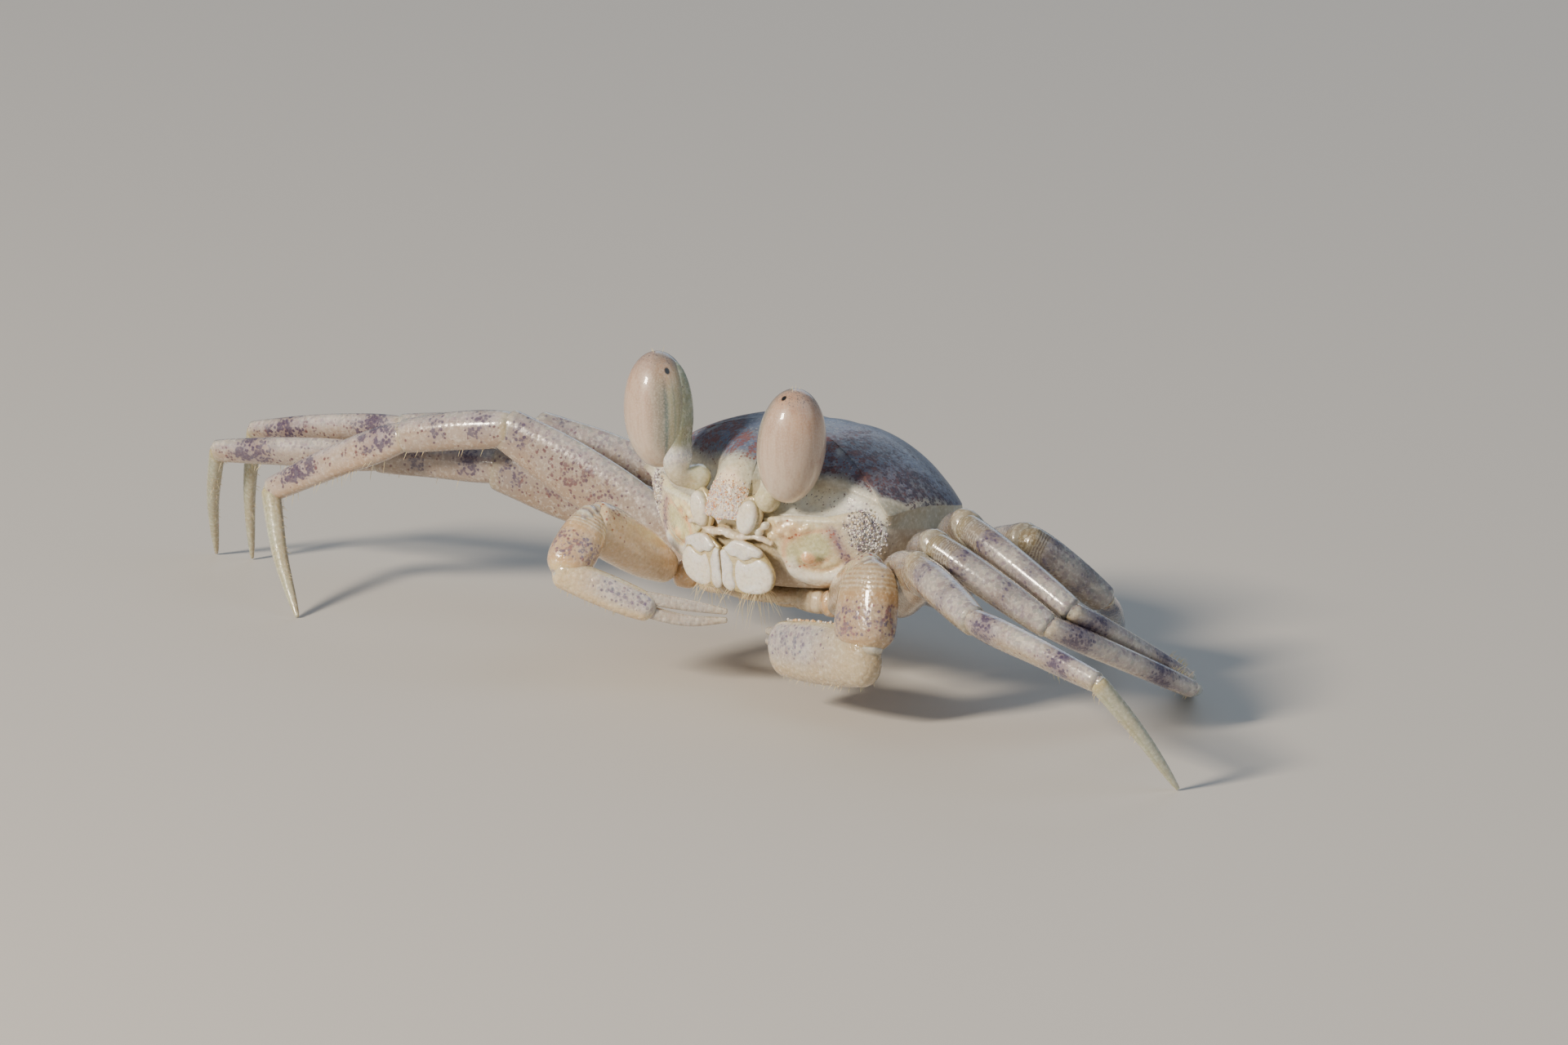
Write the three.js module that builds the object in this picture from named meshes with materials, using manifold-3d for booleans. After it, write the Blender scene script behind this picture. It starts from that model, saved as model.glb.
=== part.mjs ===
// A young ghost crab, life size, crouched on a level floor with both claws
// folded in front of its mouth and its eyestalks raised.
//
// Millimetres. The crab faces -Y, its left is +X and up is +Z. Places are
// given by at(left, forward, height), with forward measured from the line
// between the two teeth at the outer corners of the orbits.

import * as THREE from 'three';
import { mergeVertices } from 'three/addons/utils/BufferGeometryUtils.js';
import Module from 'manifold-3d';

const wasm = await Module();
wasm.setup();

// ---------------------------------------------------------------- driving sizes

const HALF_WIDTH = 9.85; // of the carapace, at the outer orbital teeth
const TOOTH_HEIGHT = 11.75; // of those teeth above the floor
const DOME_TOP = 15.7; // highest point of the back
const BODY_BOTTOM = 6.5; // underside of the shell, above the breastplate
const GAP = 0.12; // left between neighbouring plates
const WIDE_GAP = 0.3; // left where a limb's six-sided stand-in cuts its socket
const RING = 10; // sides of a stout limb joint's cross-section
const FINE_RING = 8; // sides of a thin one
const ROUGH_RING = 6;

const EYE_RADIUS = 2.12;
const EYE_HALF_LENGTH = 3.62;

// Lengths of the four free joints of each walking leg, first pair to last.
const LEG_LENGTHS = {
  2: { merus: 15.4, carpus: 7.0, propodus: 10.4, dactyl: 8.8 },
  3: { merus: 16.4, carpus: 8.4, propodus: 11.8, dactyl: 9.6 },
  4: { merus: 16.4, carpus: 8.8, propodus: 11.8, dactyl: 9.6 },
  5: { merus: 12.0, carpus: 6.6, propodus: 7.8, dactyl: 7.2 },
};

// Half depth of each leg joint, in the plane that the leg bends in.
const LEG_DEPTHS = {
  2: { merus: 1.85, carpus: 1.12, propodus: 1.1, dactyl: 0.6 },
  3: { merus: 2.05, carpus: 1.05, propodus: 1.05, dactyl: 0.5 },
  4: { merus: 2.1, carpus: 1.0, propodus: 0.95, dactyl: 0.5 },
  5: { merus: 1.6, carpus: 1.1, propodus: 0.8, dactyl: 0.42 },
};

// Where each leg leaves the breastplate, on the left side.
const LEG_ROOTS = {
  2: [7.4, -2.6, 5.45],
  3: [7.8, -5.8, 5.35],
  4: [7.4, -8.8, 5.35],
  5: [6.2, -11.4, 5.45],
};

// Pose of each leg: for merus, carpus and propodus the bearing forward of
// straight out and the rise above level, in degrees. The dactyl has a bearing
// only, because it slopes just enough to reach the floor.
const POSES = {
  right2: { merus: [12.5, 27], carpus: [18.5, -9], propodus: [12, -25.5], dactyl: 148 },
  right3: { merus: [15.5, 14], carpus: [13.5, -2], propodus: [9, -5], dactyl: -48 },
  right4: { merus: [20, 21], carpus: [21, -2], propodus: [3, -9], dactyl: -46 },
  right5: { merus: [-20, 15], carpus: [-34, -12], propodus: [-21, -18], dactyl: 138 },
  left2: { merus: [42, 20], carpus: [23, -13], propodus: [4, -11], dactyl: -60 },
  left3: { merus: [47, 23], carpus: [-10, -27], propodus: [-74, -27], dactyl: -129 },
  left4: { merus: [46, 25], carpus: [1, -25], propodus: [-87, -30], dactyl: -129 },
  left5: { merus: [30, 22], carpus: [-64, -40], propodus: [-123, -26], dactyl: -150 },
};

const TIP_RADIUS = 0.27; // of a dactyl's point, just over half a millimetre across
const STOUT_LAST_THIGH = 1.4; // how much thicker the last leg's merus is, for its depth

// ---------------------------------------------------------------- colours

function finish(colour, roughness) {
  return new THREE.MeshStandardMaterial({ color: colour, roughness, metalness: 0 });
}

const FINISHES = {
  shell: finish(0xd8d2bd, 0.35),
  face: finish(0xe9e2cc, 0.35),
  limb: finish(0xcfc8b6, 0.38),
  claw: finish(0xd6cdb4, 0.35),
  toe: finish(0xd9d8b0, 0.4),
  eye: finish(0xc9ad9b, 0.15),
  stalk: finish(0xa5a36c, 0.3),
};

// ---------------------------------------------------------------- frame and solids

function at(left, forward, height) {
  return new THREE.Vector3(left, -forward, height);
}

function mirrored(point) {
  return new THREE.Vector3(-point.x, point.y, point.z);
}

// Closed skin through a list of equal rings, with a point at each end.
function skin(firstPole, rings, lastPole) {
  const count = rings[0].length;
  const positions = [firstPole, ...rings.flat(), lastPole].flatMap((p) => [p.x, p.y, p.z]);
  const last = rings.length * count + 1;
  const faces = [];
  const vertex = (ring, side) => 1 + ring * count + (side % count);
  for (let side = 0; side < count; side += 1) {
    faces.push(0, vertex(0, side + 1), vertex(0, side));
    faces.push(last, vertex(rings.length - 1, side), vertex(rings.length - 1, side + 1));
    for (let ring = 0; ring < rings.length - 1; ring += 1) {
      const a = vertex(ring, side);
      const b = vertex(ring, side + 1);
      const c = vertex(ring + 1, side + 1);
      const d = vertex(ring + 1, side);
      faces.push(a, b, c, a, c, d);
    }
  }
  const geometry = new THREE.BufferGeometry();
  geometry.setAttribute('position', new THREE.Float32BufferAttribute(positions, 3));
  geometry.setIndex(faces);
  return geometry;
}

// Solid for joining and cutting. A skin wound inside out is turned round.
function solid(geometry) {
  const bare = geometry.clone();
  bare.deleteAttribute('normal');
  bare.deleteAttribute('uv');
  const merged = mergeVertices(bare, 1e-4);
  const triVerts = Uint32Array.from(merged.index.array);
  const vertProperties = Float32Array.from(merged.attributes.position.array);
  const body = new wasm.Manifold(new wasm.Mesh({ numProp: 3, vertProperties, triVerts }));
  if (body.volume() > 0) return body;
  for (let i = 0; i < triVerts.length; i += 3) {
    [triVerts[i + 1], triVerts[i + 2]] = [triVerts[i + 2], triVerts[i + 1]];
  }
  return new wasm.Manifold(new wasm.Mesh({ numProp: 3, vertProperties, triVerts }));
}

function geometryOf(body) {
  const { vertProperties, triVerts, numProp } = body.getMesh();
  const positions = [];
  for (let i = 0; i < vertProperties.length; i += numProp) {
    positions.push(vertProperties[i], vertProperties[i + 1], vertProperties[i + 2]);
  }
  const geometry = new THREE.BufferGeometry();
  geometry.setAttribute('position', new THREE.Float32BufferAttribute(positions, 3));
  geometry.setIndex(Array.from(triVerts));
  geometry.computeVertexNormals();
  return geometry;
}

function box(low, high) {
  const size = high.clone().sub(low);
  const block = new THREE.BoxGeometry(Math.abs(size.x), Math.abs(size.y), Math.abs(size.z));
  const middle = low.clone().add(high).multiplyScalar(0.5);
  block.translate(middle.x, middle.y, middle.z);
  return solid(block);
}

// Flattened round section: flatness above 2 squares its corners a little.
function section(centre, across, up, halfAcross, halfUp, sides = RING, flatness = 2.4) {
  const ring = [];
  for (let i = 0; i < sides; i += 1) {
    const angle = (2 * Math.PI * (i + 0.5)) / sides;
    const x = Math.sign(Math.cos(angle)) * Math.abs(Math.cos(angle)) ** (2 / flatness);
    const z = Math.sign(Math.sin(angle)) * Math.abs(Math.sin(angle)) ** (2 / flatness);
    ring.push(
      centre.clone().addScaledVector(across, x * halfAcross).addScaledVector(up, z * halfUp),
    );
  }
  return ring;
}

// Plate or limb carried along a path. Each station is
// [share of the path, half depth, half thickness]; swell adds all round.
function swept(path, upHint, stations, swell = 0, sides = RING) {
  const curve = path.length > 2 ? new THREE.CatmullRomCurve3(path) : new THREE.LineCurve3(...path);
  const length = curve.getLength();
  const ends = [curve.getPoint(0), curve.getPoint(1)];
  const tangents = [curve.getTangent(0), curve.getTangent(1)];
  const place = (share) => {
    if (share < 0) return ends[0].clone().addScaledVector(tangents[0], share * length);
    if (share > 1) return ends[1].clone().addScaledVector(tangents[1], (share - 1) * length);
    return curve.getPointAt(share);
  };
  const rings = stations.map(([share, depth, thickness]) => {
    const along = curve.getTangentAt(Math.min(Math.max(share, 0), 1));
    const up = upHint.clone().addScaledVector(along, -upHint.dot(along)).normalize();
    const across = new THREE.Vector3().crossVectors(along, up);
    return section(place(share), across, up, thickness + swell, depth + swell, sides);
  });
  const round = (station) => Math.min(station[1], station[2]) * 0.45 + swell;
  const start = place(stations[0][0]).addScaledVector(tangents[0], -round(stations[0]));
  const end = place(stations.at(-1)[0]).addScaledVector(tangents[1], round(stations.at(-1)));
  return solid(skin(start, rings, end));
}

function ellipsoid(centre, halves, lean = 0, sides = 12) {
  const ball = new THREE.SphereGeometry(1, sides, 8);
  ball.rotateX(Math.PI / 2);
  ball.scale(...halves);
  ball.rotateY(lean);
  ball.translate(centre.x, centre.y, centre.z);
  return solid(ball);
}

// ---------------------------------------------------------------- body shell

const HALF_RING = 15; // points from the middle of the front round to the tail
const DOME_CENTRE = at(0, -2.5, DOME_TOP);

// Rim of the back: front, upper edge of the orbit, outer tooth, side, tail.
const BACK_RIM = [
  [0, 3.2, 13.9],
  [1.6, 2.5, 13.4],
  [3.3, 1.25, TOOTH_HEIGHT + 1.05],
  [5.6, 0.75, TOOTH_HEIGHT + 1.1],
  [8.2, 0.15, TOOTH_HEIGHT + 0.8],
  [HALF_WIDTH - 0.05, 0.0, TOOTH_HEIGHT],
  [HALF_WIDTH + 0.1, -3.2, TOOTH_HEIGHT - 0.05],
  [HALF_WIDTH - 0.2, -5.9, 11.2],
  [7.85, -9.1, 10.45],
  [5.2, -11.3, 10.1],
  [0, -12.2, 10.0],
];

// Edge under the orbits, carried round below the rim of the back.
const LOWER_RIM = [
  [0, 3.7, 10.6],
  [1.8, 3.5, 10.9],
  [3.6, 2.9, 11.3],
  [5.9, 1.9, 11.3],
  [8.2, 0.85, 10.9],
  [9.6, -0.6, 10.5],
  [9.95, -3.4, 10.3],
  [HALF_WIDTH - 0.05, -6.1, 10.0],
  [7.95, -9.3, 9.5],
  [5.2, -11.5, 9.2],
  [0, -12.3, 9.1],
];

// How far the wall draws in toward the middle at each level below that edge.
const WALL_LEVELS = [
  { height: 8.9, side: 0.955, front: 0.975 },
  { height: 7.3, side: 0.85, front: 0.94 },
  { height: BODY_BOTTOM, side: 0.66, front: 0.76 },
];

function halfOutline(places) {
  const curve = new THREE.CatmullRomCurve3(places.map((p) => at(...p)), false, 'centripetal');
  return Array.from({ length: HALF_RING }, (_, i) => curve.getPoint(i / (HALF_RING - 1)));
}

function fullRing(half) {
  const otherSide = half.slice(1, -1).reverse().map(mirrored);
  return [...half, ...otherSide];
}

// Height of the back over a point a given share of the way out to the rim.
function domeHeight(rimPoint, share) {
  const backward = THREE.MathUtils.smoothstep(rimPoint.y, 3, 9);
  const sideward = THREE.MathUtils.smoothstep(Math.abs(rimPoint.x), 0, 7);
  const fullness = 2.4 + (0.9 * sideward - 0.4) * backward;
  const steepness = 0.8 + 0.12 * sideward * backward;
  const rise = (1 - share ** fullness) ** steepness;
  return rimPoint.z + (DOME_TOP - rimPoint.z) * rise;
}

function bodyBlock() {
  const rim = halfOutline(BACK_RIM);
  const lower = halfOutline(LOWER_RIM);
  const rings = [0.25, 0.48, 0.68, 0.84, 0.95, 1].map((share) => fullRing(rim.map((p) => {
    const point = DOME_CENTRE.clone().lerp(p, share);
    point.z = domeHeight(p, share);
    return point;
  })));
  rings.push(fullRing(lower));
  for (const level of WALL_LEVELS) {
    rings.push(fullRing(lower.map((p) => {
      const frontness = THREE.MathUtils.smoothstep(-p.y, -1, 3);
      const share = THREE.MathUtils.lerp(level.side, level.front, frontness);
      return new THREE.Vector3(p.x * share, DOME_CENTRE.y + (p.y - DOME_CENTRE.y) * share, level.height);
    })));
  }
  return solid(skin(DOME_CENTRE, rings, at(0, -2.5, BODY_BOTTOM)));
}

// Tongue-shaped front, bent down between the eyes.
function frontLobe() {
  const path = [
    at(0, 1.2, 14.7), at(0, 2.7, 14.4), at(0, 3.5, 13.3), at(0, 4.1, 12.0), at(0, 4.35, 10.75),
  ];
  const stations = [
    [0, 0.6, 1.9], [0.28, 0.62, 1.6], [0.5, 0.55, 1.25], [0.7, 0.52, 1.33], [0.9, 0.47, 1.25],
    [1, 0.3, 0.85],
  ];
  return swept(path, at(0, 1, 0.2), stations);
}

function orbitTooth(side) {
  const path = [at(side * 9.3, -1.4, TOOTH_HEIGHT - 0.1), at(side * 9.75, 0.35, TOOTH_HEIGHT)];
  return swept(path, at(0, 0, 1), [[0, 0.3, 0.45], [0.7, 0.28, 0.3], [1, 0.1, 0.1]], 0, 6);
}

// Shallow trough under the upper edge of the orbit, where the eye folds down.
function orbitHollow(side) {
  const path = [at(side * 2.3, 2.9, 12.3), at(side * 5.6, 1.75, 12.2), at(side * 8.9, 0.5, 11.8)];
  const stations = [[0, 0.5, 0.5], [0.3, 0.75, 0.8], [0.7, 0.75, 0.8], [1, 0.4, 0.4]];
  return swept(path, at(0, 0, 1), stations, 0, FINE_RING);
}

// Side of the face below the orbit, from the mouth out to the ridge that runs
// down from the tooth: corners as [left, height], seen from in front.
const CHEEK_CORNERS = [
  [2.35, 10.6], [9.4, 10.6], [9.2, 9.3], [7.5, 7.2], [6.1, 6.2], [3.0, 6.2], [3.0, 9.3], [2.35, 9.5],
];

function cheekRoom(side, inset) {
  const centre = [5.9, 10];
  const shrink = 1 - inset / 1.6;
  const corners = CHEEK_CORNERS.map(([left, height]) => new THREE.Vector2(
    side * (centre[0] + (left - centre[0]) * shrink),
    centre[1] + (height - centre[1]) * shrink,
  ));
  const plate = new THREE.ExtrudeGeometry(new THREE.Shape(corners), { depth: 8, bevelEnabled: false });
  plate.rotateX(Math.PI / 2);
  plate.translate(0, -0.9 - inset, 0);
  return solid(plate);
}

function eyeSocket(side) {
  return ellipsoid(at(side * 2.1, 2.9, 12.6), [1.05, 1.15, 1.0], 0, 8);
}

// ---------------------------------------------------------------- eyes

// The right stalk stands a little higher than the left one.
const EYES = {
  right: { side: -1, centre: at(-4.85, 4.7, 16.95), lean: -0.05, tuck: 1.65, foot: at(-2.15, 3.0, 12.8) },
  left: { side: 1, centre: at(4.6, 3.3, 15.85), lean: 0.12, tuck: 1.15, foot: at(2.6, 2.85, 12.55) },
};

function eyeAxis(eye) {
  return new THREE.Vector3(Math.sin(eye.lean), 0, Math.cos(eye.lean));
}

// Stalk from its socket beside the front, up the inner side of the cornea.
function eyestalk(eye, swell = 0) {
  const inner = new THREE.Vector3(-eye.side, 0, 0);
  const up = eyeAxis(eye);
  const beside = (rise, inward) => eye.centre.clone()
    .addScaledVector(up, rise).addScaledVector(inner, inward);
  const path = [
    eye.foot,
    beside(-3.6, eye.tuck),
    beside(-1.6, eye.tuck),
    beside(0.9, eye.tuck),
    beside(2.9, 0.95),
  ];
  const stations = [
    [0, 0.5, 0.55], [0.1, 0.75, 0.8], [0.2, 0.8, 0.8], [0.32, 0.95, 0.95], [0.5, 0.82, 0.82],
    [0.75, 0.75, 0.7], [0.92, 0.6, 0.55], [1, 0.4, 0.35],
  ];
  return swept(path, at(0, 1, 0), stations, swell);
}

function cornea(eye) {
  const body = ellipsoid(eye.centre, [EYE_RADIUS, EYE_RADIUS, EYE_HALF_LENGTH], eye.lean, 16);
  return body.subtract(eyestalk(eye, GAP));
}

// ---------------------------------------------------------------- mouth and underside

function antennule(side) {
  return ellipsoid(at(side * 2.1, 4.15, 11.15), [0.7, 0.5, 1.1], 0, 8);
}

function epistome() {
  const path = [at(-1.75, 3.5, 9.9), at(0, 3.8, 9.85), at(1.75, 3.5, 9.9)];
  return swept(path, at(0, 0, 1), [[0, 0.25, 0.4], [0.5, 0.3, 0.5], [1, 0.25, 0.4]], 0, 8);
}

// Door-like outer mouthpart, a broad plate with its fellow across the middle.
function maxilliped(side) {
  const path = [at(side * 1.95, 3.75, 5.95), at(side * 1.85, 4.25, 7.6), at(side * 1.75, 4.2, 9.15)];
  const stations = [[0, 0.95, 0.32], [0.2, 1.45, 0.42], [0.7, 1.6, 0.45], [0.93, 1.3, 0.4], [1, 0.8, 0.3]];
  return swept(path, at(1, 0.12 * side, 0), stations, 0, FINE_RING);
}

function breastplate() {
  const path = [at(0, 2.7, 5.75), at(0, -4, 5.4), at(0, -11.9, 5.9)];
  const stations = [
    [0, 0.35, 1.2], [0.1, 0.6, 3.2], [0.28, 0.75, 4.6], [0.5, 0.8, 5.0], [0.72, 0.78, 4.7],
    [0.9, 0.6, 3.6], [1, 0.35, 2.2],
  ];
  return swept(path, at(0, 0, 1), stations, 0, FINE_RING);
}

function coxa(root, side, radius) {
  const inner = at(side * (Math.abs(root.x) - 3.4), -root.y, 5.5);
  const outer = root.clone().lerp(inner, 0.12);
  const stations = [[0, 0.6, 0.9], [1, radius * 0.85, radius * 0.85]];
  return swept([inner, outer], at(0, 0, 1), stations, 0, ROUGH_RING);
}

// Narrow tail, folded under the body from behind.
function abdomen() {
  const path = [
    at(0, -12.55, 9.3), at(0, -12.95, 7.6), at(0, -12.5, 5.2), at(0, -10.6, 4.25), at(0, -6, 4.05),
    at(0, -1.2, 4.35),
  ];
  const stations = [
    [0, 0.2, 2.9], [0.1, 0.3, 3.0], [0.3, 0.3, 2.7], [0.5, 0.28, 2.2], [0.75, 0.26, 1.7],
    [0.95, 0.25, 1.1], [1, 0.2, 0.6],
  ];
  return swept(path, at(0, 0.3, 1), stations, 0, FINE_RING);
}

// ---------------------------------------------------------------- limbs

function bearing(side, [turn, rise]) {
  const forward = THREE.MathUtils.degToRad(turn);
  const up = THREE.MathUtils.degToRad(rise);
  const level = Math.cos(up);
  return at(side * Math.cos(forward) * level, Math.sin(forward) * level, Math.sin(up));
}

// Outer side of a bent limb: away from the bend, and never far below level.
function outside(before, along, after) {
  const hint = at(0, 0, 0.35).add(before).sub(after);
  return hint.addScaledVector(along, -hint.dot(along)).normalize();
}

// Profiles of a leg's joints: [share of length, depth, thickness], the last
// two as shares of the joint's greatest half depth.
const LEG_PROFILES = {
  merus: [
    [0.0, 0.4, 0.36], [0.1, 0.6, 0.42], [0.2, 0.88, 0.46], [0.42, 1.0, 0.46], [0.72, 0.93, 0.45],
    [0.92, 0.76, 0.44], [1.0, 0.52, 0.38],
  ],
  carpus: [[0.03, 0.6, 0.54], [0.14, 0.92, 0.84], [0.45, 1.0, 0.92], [0.8, 1.0, 0.88], [0.97, 0.8, 0.72]],
  propodus: [[0.03, 0.55, 0.5], [0.14, 0.92, 0.7], [0.85, 0.76, 0.6], [0.97, 0.6, 0.54]],
  dactyl: [[0.03, 0.75, 0.74], [0.15, 1.0, 0.94], [0.5, 0.85, 0.8], [0.85, 0.62, 0.6]],
};

function legJoint(name, pair, from, to, upHint, swell, sides) {
  const depth = LEG_DEPTHS[pair][name];
  const stout = pair === 5 && name === 'merus' ? STOUT_LAST_THIGH : 1;
  const stations = LEG_PROFILES[name].map(([share, d, t]) => [share, d * depth, t * depth * stout]);
  if (name === 'dactyl') stations.push([1, TIP_RADIUS, TIP_RADIUS]);
  return swept([from, to], upHint, stations, swell, sides);
}

// One walking leg: joint places from the pose, then each joint cut by the
// rounded head of the next one, and the point cut flat where it meets the floor.
function walkingLeg(sideName, pair) {
  const side = sideName === 'left' ? 1 : -1;
  const pose = POSES[`${sideName}${pair}`];
  const lengths = LEG_LENGTHS[pair];
  const root = at(side * LEG_ROOTS[pair][0], LEG_ROOTS[pair][1], LEG_ROOTS[pair][2]);
  const names = ['merus', 'carpus', 'propodus', 'dactyl'];
  const directions = names.slice(0, 3).map((name) => bearing(side, pose[name]));
  const places = [root];
  directions.forEach((direction, i) => {
    places.push(places[i].clone().addScaledVector(direction, lengths[names[i]]));
  });
  const drop = Math.min(places[3].z - TIP_RADIUS * 0.3, lengths.dactyl * 0.98);
  const slope = -THREE.MathUtils.radToDeg(Math.asin(drop / lengths.dactyl));
  directions.push(bearing(side, [pose.dactyl, slope]));
  places.push(places[3].clone().addScaledVector(directions[3], lengths.dactyl));

  const joints = names.map((name, i) => {
    const before = directions[Math.max(i - 1, 0)];
    const after = directions[Math.min(i + 1, 3)];
    const up = outside(before, directions[i], after);
    const sides = name === 'merus' ? RING : FINE_RING;
    const make = (swell, count) => legJoint(name, pair, places[i], places[i + 1], up, swell, count);
    return {
      name: `leg_${sideName}_${pair}_${name}`,
      body: make(0, sides),
      room: make(GAP, sides),
      wideRoom: make(WIDE_GAP, ROUGH_RING),
    };
  });
  const floor = box(new THREE.Vector3(-60, -60, -5), new THREE.Vector3(60, 60, 0));
  for (let i = 0; i < 3; i += 1) joints[i].body = joints[i].body.subtract(joints[i + 1].room);
  joints[3].body = joints[3].body.subtract(floor);
  return { root, side, joints };
}

// ---------------------------------------------------------------- claws

// Joint places and half sizes of the two arms; the left claw is the larger.
const ARMS = {
  left: {
    side: 1,
    shoulder: at(5.1, 0.3, 5.5),
    armpit: at(6.7, 1.5, 5.9),
    elbow: at(12.6, 5.4, 9.45),
    wrist: at(13.3, 6.9, 5.1),
    knuckle: at(5.3, 6.0, 4.0),
    tip: at(1.9, 2.3, 3.3),
    merusDepth: 1.5,
    carpus: { depth: 2.15, thickness: 1.45, reach: 0.22 },
    palm: { depth: 1.95, thickness: 1.2, sag: 0.55, heel: 0.16 },
    finger: { depth: 0.6, thickness: 0.5 },
  },
  right: {
    side: -1,
    shoulder: at(-5.1, 0.3, 5.5),
    armpit: at(-6.3, 1.6, 5.9),
    elbow: at(-7.5, 8.0, 10.0),
    wrist: at(-7.2, 10.9, 7.5),
    knuckle: at(-2.2, 8.1, 5.3),
    tip: at(1.1, 5.2, 4.95),
    merusDepth: 1.6,
    carpus: { depth: 1.45, thickness: 1.25, reach: 0.26 },
    palm: { depth: 1.05, thickness: 0.8, sag: 0.1, heel: 0.12 },
    finger: { depth: 0.4, thickness: 0.36 },
  },
};

// The arm's flattened sides lie in the plane of its bend; the claw stands on edge.
function armPieces(sideName) {
  const arm = ARMS[sideName];
  const way = (from, to) => to.clone().sub(from).normalize();
  const merusWay = way(arm.armpit, arm.elbow);
  const armUp = outside(merusWay, merusWay, way(arm.elbow, arm.wrist));
  const up = at(0, 0, 1);
  const { carpus, palm, finger } = arm;

  const ischiumStations = [[0.1, 0.7, 0.75], [0.5, 0.85, 0.85], [0.85, 0.85, 0.85]];
  const makeIschium = (swell) => swept([arm.shoulder, arm.armpit], up, ischiumStations, swell);
  const merusStations = [
    [0, 0.5, 0.45], [0.14, 0.7, 0.6], [0.45, 0.95, 0.78], [0.8, 1.0, 0.8], [1, 0.8, 0.66],
  ].map(([share, d, t]) => [share, d * arm.merusDepth, t * arm.merusDepth]);
  const makeMerus = (swell) => swept([arm.armpit, arm.elbow], armUp, merusStations, swell);

  const carpusStations = [
    [-carpus.reach, 0.42, 0.4], [-0.02, 0.8, 0.76], [0.35, 1, 1], [0.75, 0.96, 0.96],
    [1 + carpus.reach * 0.7, 0.55, 0.55],
  ].map(([share, d, t]) => [share, d * carpus.depth, t * carpus.thickness]);
  const carpusUp = way(arm.wrist, arm.knuckle);
  const makeCarpus = (swell) => swept([arm.elbow, arm.wrist], carpusUp, carpusStations, swell);

  const palmStations = [
    [-palm.heel, 0.5, 0.55], [0.1 - palm.heel, 0.86, 0.9], [0.35, 1, 1], [0.75, 0.92, 0.9],
    [0.95, 0.7, 0.66],
  ].map(([share, d, t]) => [share, d * palm.depth, t * palm.thickness]);
  const palmStart = arm.wrist.clone().addScaledVector(up, -palm.sag);
  const palmEnd = arm.knuckle.clone().addScaledVector(up, -palm.sag * 0.3);
  const palmBody = swept([palmStart, palmEnd], up, palmStations);

  const fingerStations = [
    [0.0, 1.0, 1.0], [0.3, 1.0, 0.95], [0.7, 0.75, 0.8], [1, 0.5, 0.6],
  ].map(([share, ...halves]) => [
    share,
    Math.max(halves[0] * finger.depth, TIP_RADIUS),
    Math.max(halves[1] * finger.thickness, TIP_RADIUS),
  ]);
  const makeFinger = (raise, start, swell = 0) => {
    const lift = at(0, 0, raise);
    const root = arm.knuckle.clone().lerp(arm.wrist, start).add(lift);
    const middle = arm.knuckle.clone().lerp(arm.tip, 0.5).addScaledVector(lift, 1.15);
    const point = arm.tip.clone().addScaledVector(lift, 0.75);
    return swept([root, middle, point], up, fingerStations, swell, 8);
  };
  const spread = finger.depth + GAP * 0.6;
  const fixedFinger = makeFinger(-spread, 0.25);
  const movingFinger = (swell) => makeFinger(spread, 0.0, swell);

  const palmWhole = palmBody.add(fixedFinger)
    .subtract(makeCarpus(GAP)).subtract(movingFinger(GAP));
  const merus = makeMerus(0).subtract(makeCarpus(GAP));
  return {
    shoulder: arm.shoulder,
    side: arm.side,
    rooms: [makeIschium(GAP), makeMerus(GAP)],
    joints: [
      { name: `claw_${sideName}_ischium`, body: makeIschium(0).subtract(makeMerus(GAP)) },
      { name: `claw_${sideName}_merus`, body: merus },
      { name: `claw_${sideName}_carpus`, body: makeCarpus(0) },
      { name: `claw_${sideName}_palm`, body: palmWhole },
      { name: `claw_${sideName}_finger`, body: movingFinger(0) },
    ],
  };
}

// ---------------------------------------------------------------- assembly

const crab = new THREE.Group();

function place(name, body, material) {
  const mesh = new THREE.Mesh(geometryOf(body), material);
  mesh.name = name;
  crab.add(mesh);
}

const SIDES = ['right', 'left'];
const legs = SIDES.flatMap((sideName) => [2, 3, 4, 5].map((pair) => walkingLeg(sideName, pair)));
const arms = SIDES.map(armPieces);

function clearOfLimbs(body) {
  let cleared = body;
  for (const leg of legs) cleared = cleared.subtract(leg.joints[0].wideRoom);
  for (const arm of arms) {
    for (const room of arm.rooms) cleared = cleared.subtract(room);
  }
  return cleared;
}

const block = clearOfLimbs(bodyBlock());
let shell = block.add(frontLobe()).add(epistome());
let breast = breastplate();
for (const side of [-1, 1]) {
  shell = shell.subtract(orbitHollow(side)).subtract(eyeSocket(side)).add(orbitTooth(side));
  shell = shell.subtract(cheekRoom(side, 0));
  const cheekName = side > 0 ? 'cheek_left' : 'cheek_right';
  place(cheekName, block.intersect(cheekRoom(side, GAP)), FINISHES.face);
}
for (const leg of legs) breast = breast.add(coxa(leg.root, leg.side, 0.95));
for (const arm of arms) breast = breast.add(coxa(arm.shoulder, arm.side, 0.8));

place('carapace', shell, FINISHES.shell);
place('sternum', clearOfLimbs(breast), FINISHES.face);
place('abdomen', abdomen(), FINISHES.face);
for (const [sideName, eye] of Object.entries(EYES)) {
  place(`maxilliped_${sideName}`, maxilliped(eye.side), FINISHES.face);
  place(`antennule_${sideName}`, antennule(eye.side), FINISHES.face);
  place(`eyestalk_${sideName}`, eyestalk(eye), FINISHES.stalk);
  place(`eye_${sideName}`, cornea(eye), FINISHES.eye);
}
for (const arm of arms) {
  for (const joint of arm.joints) place(joint.name, joint.body, FINISHES.claw);
}
for (const leg of legs) {
  for (const joint of leg.joints) {
    place(joint.name, joint.body, joint.name.endsWith('dactyl') ? FINISHES.toe : FINISHES.limb);
  }
}

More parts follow.
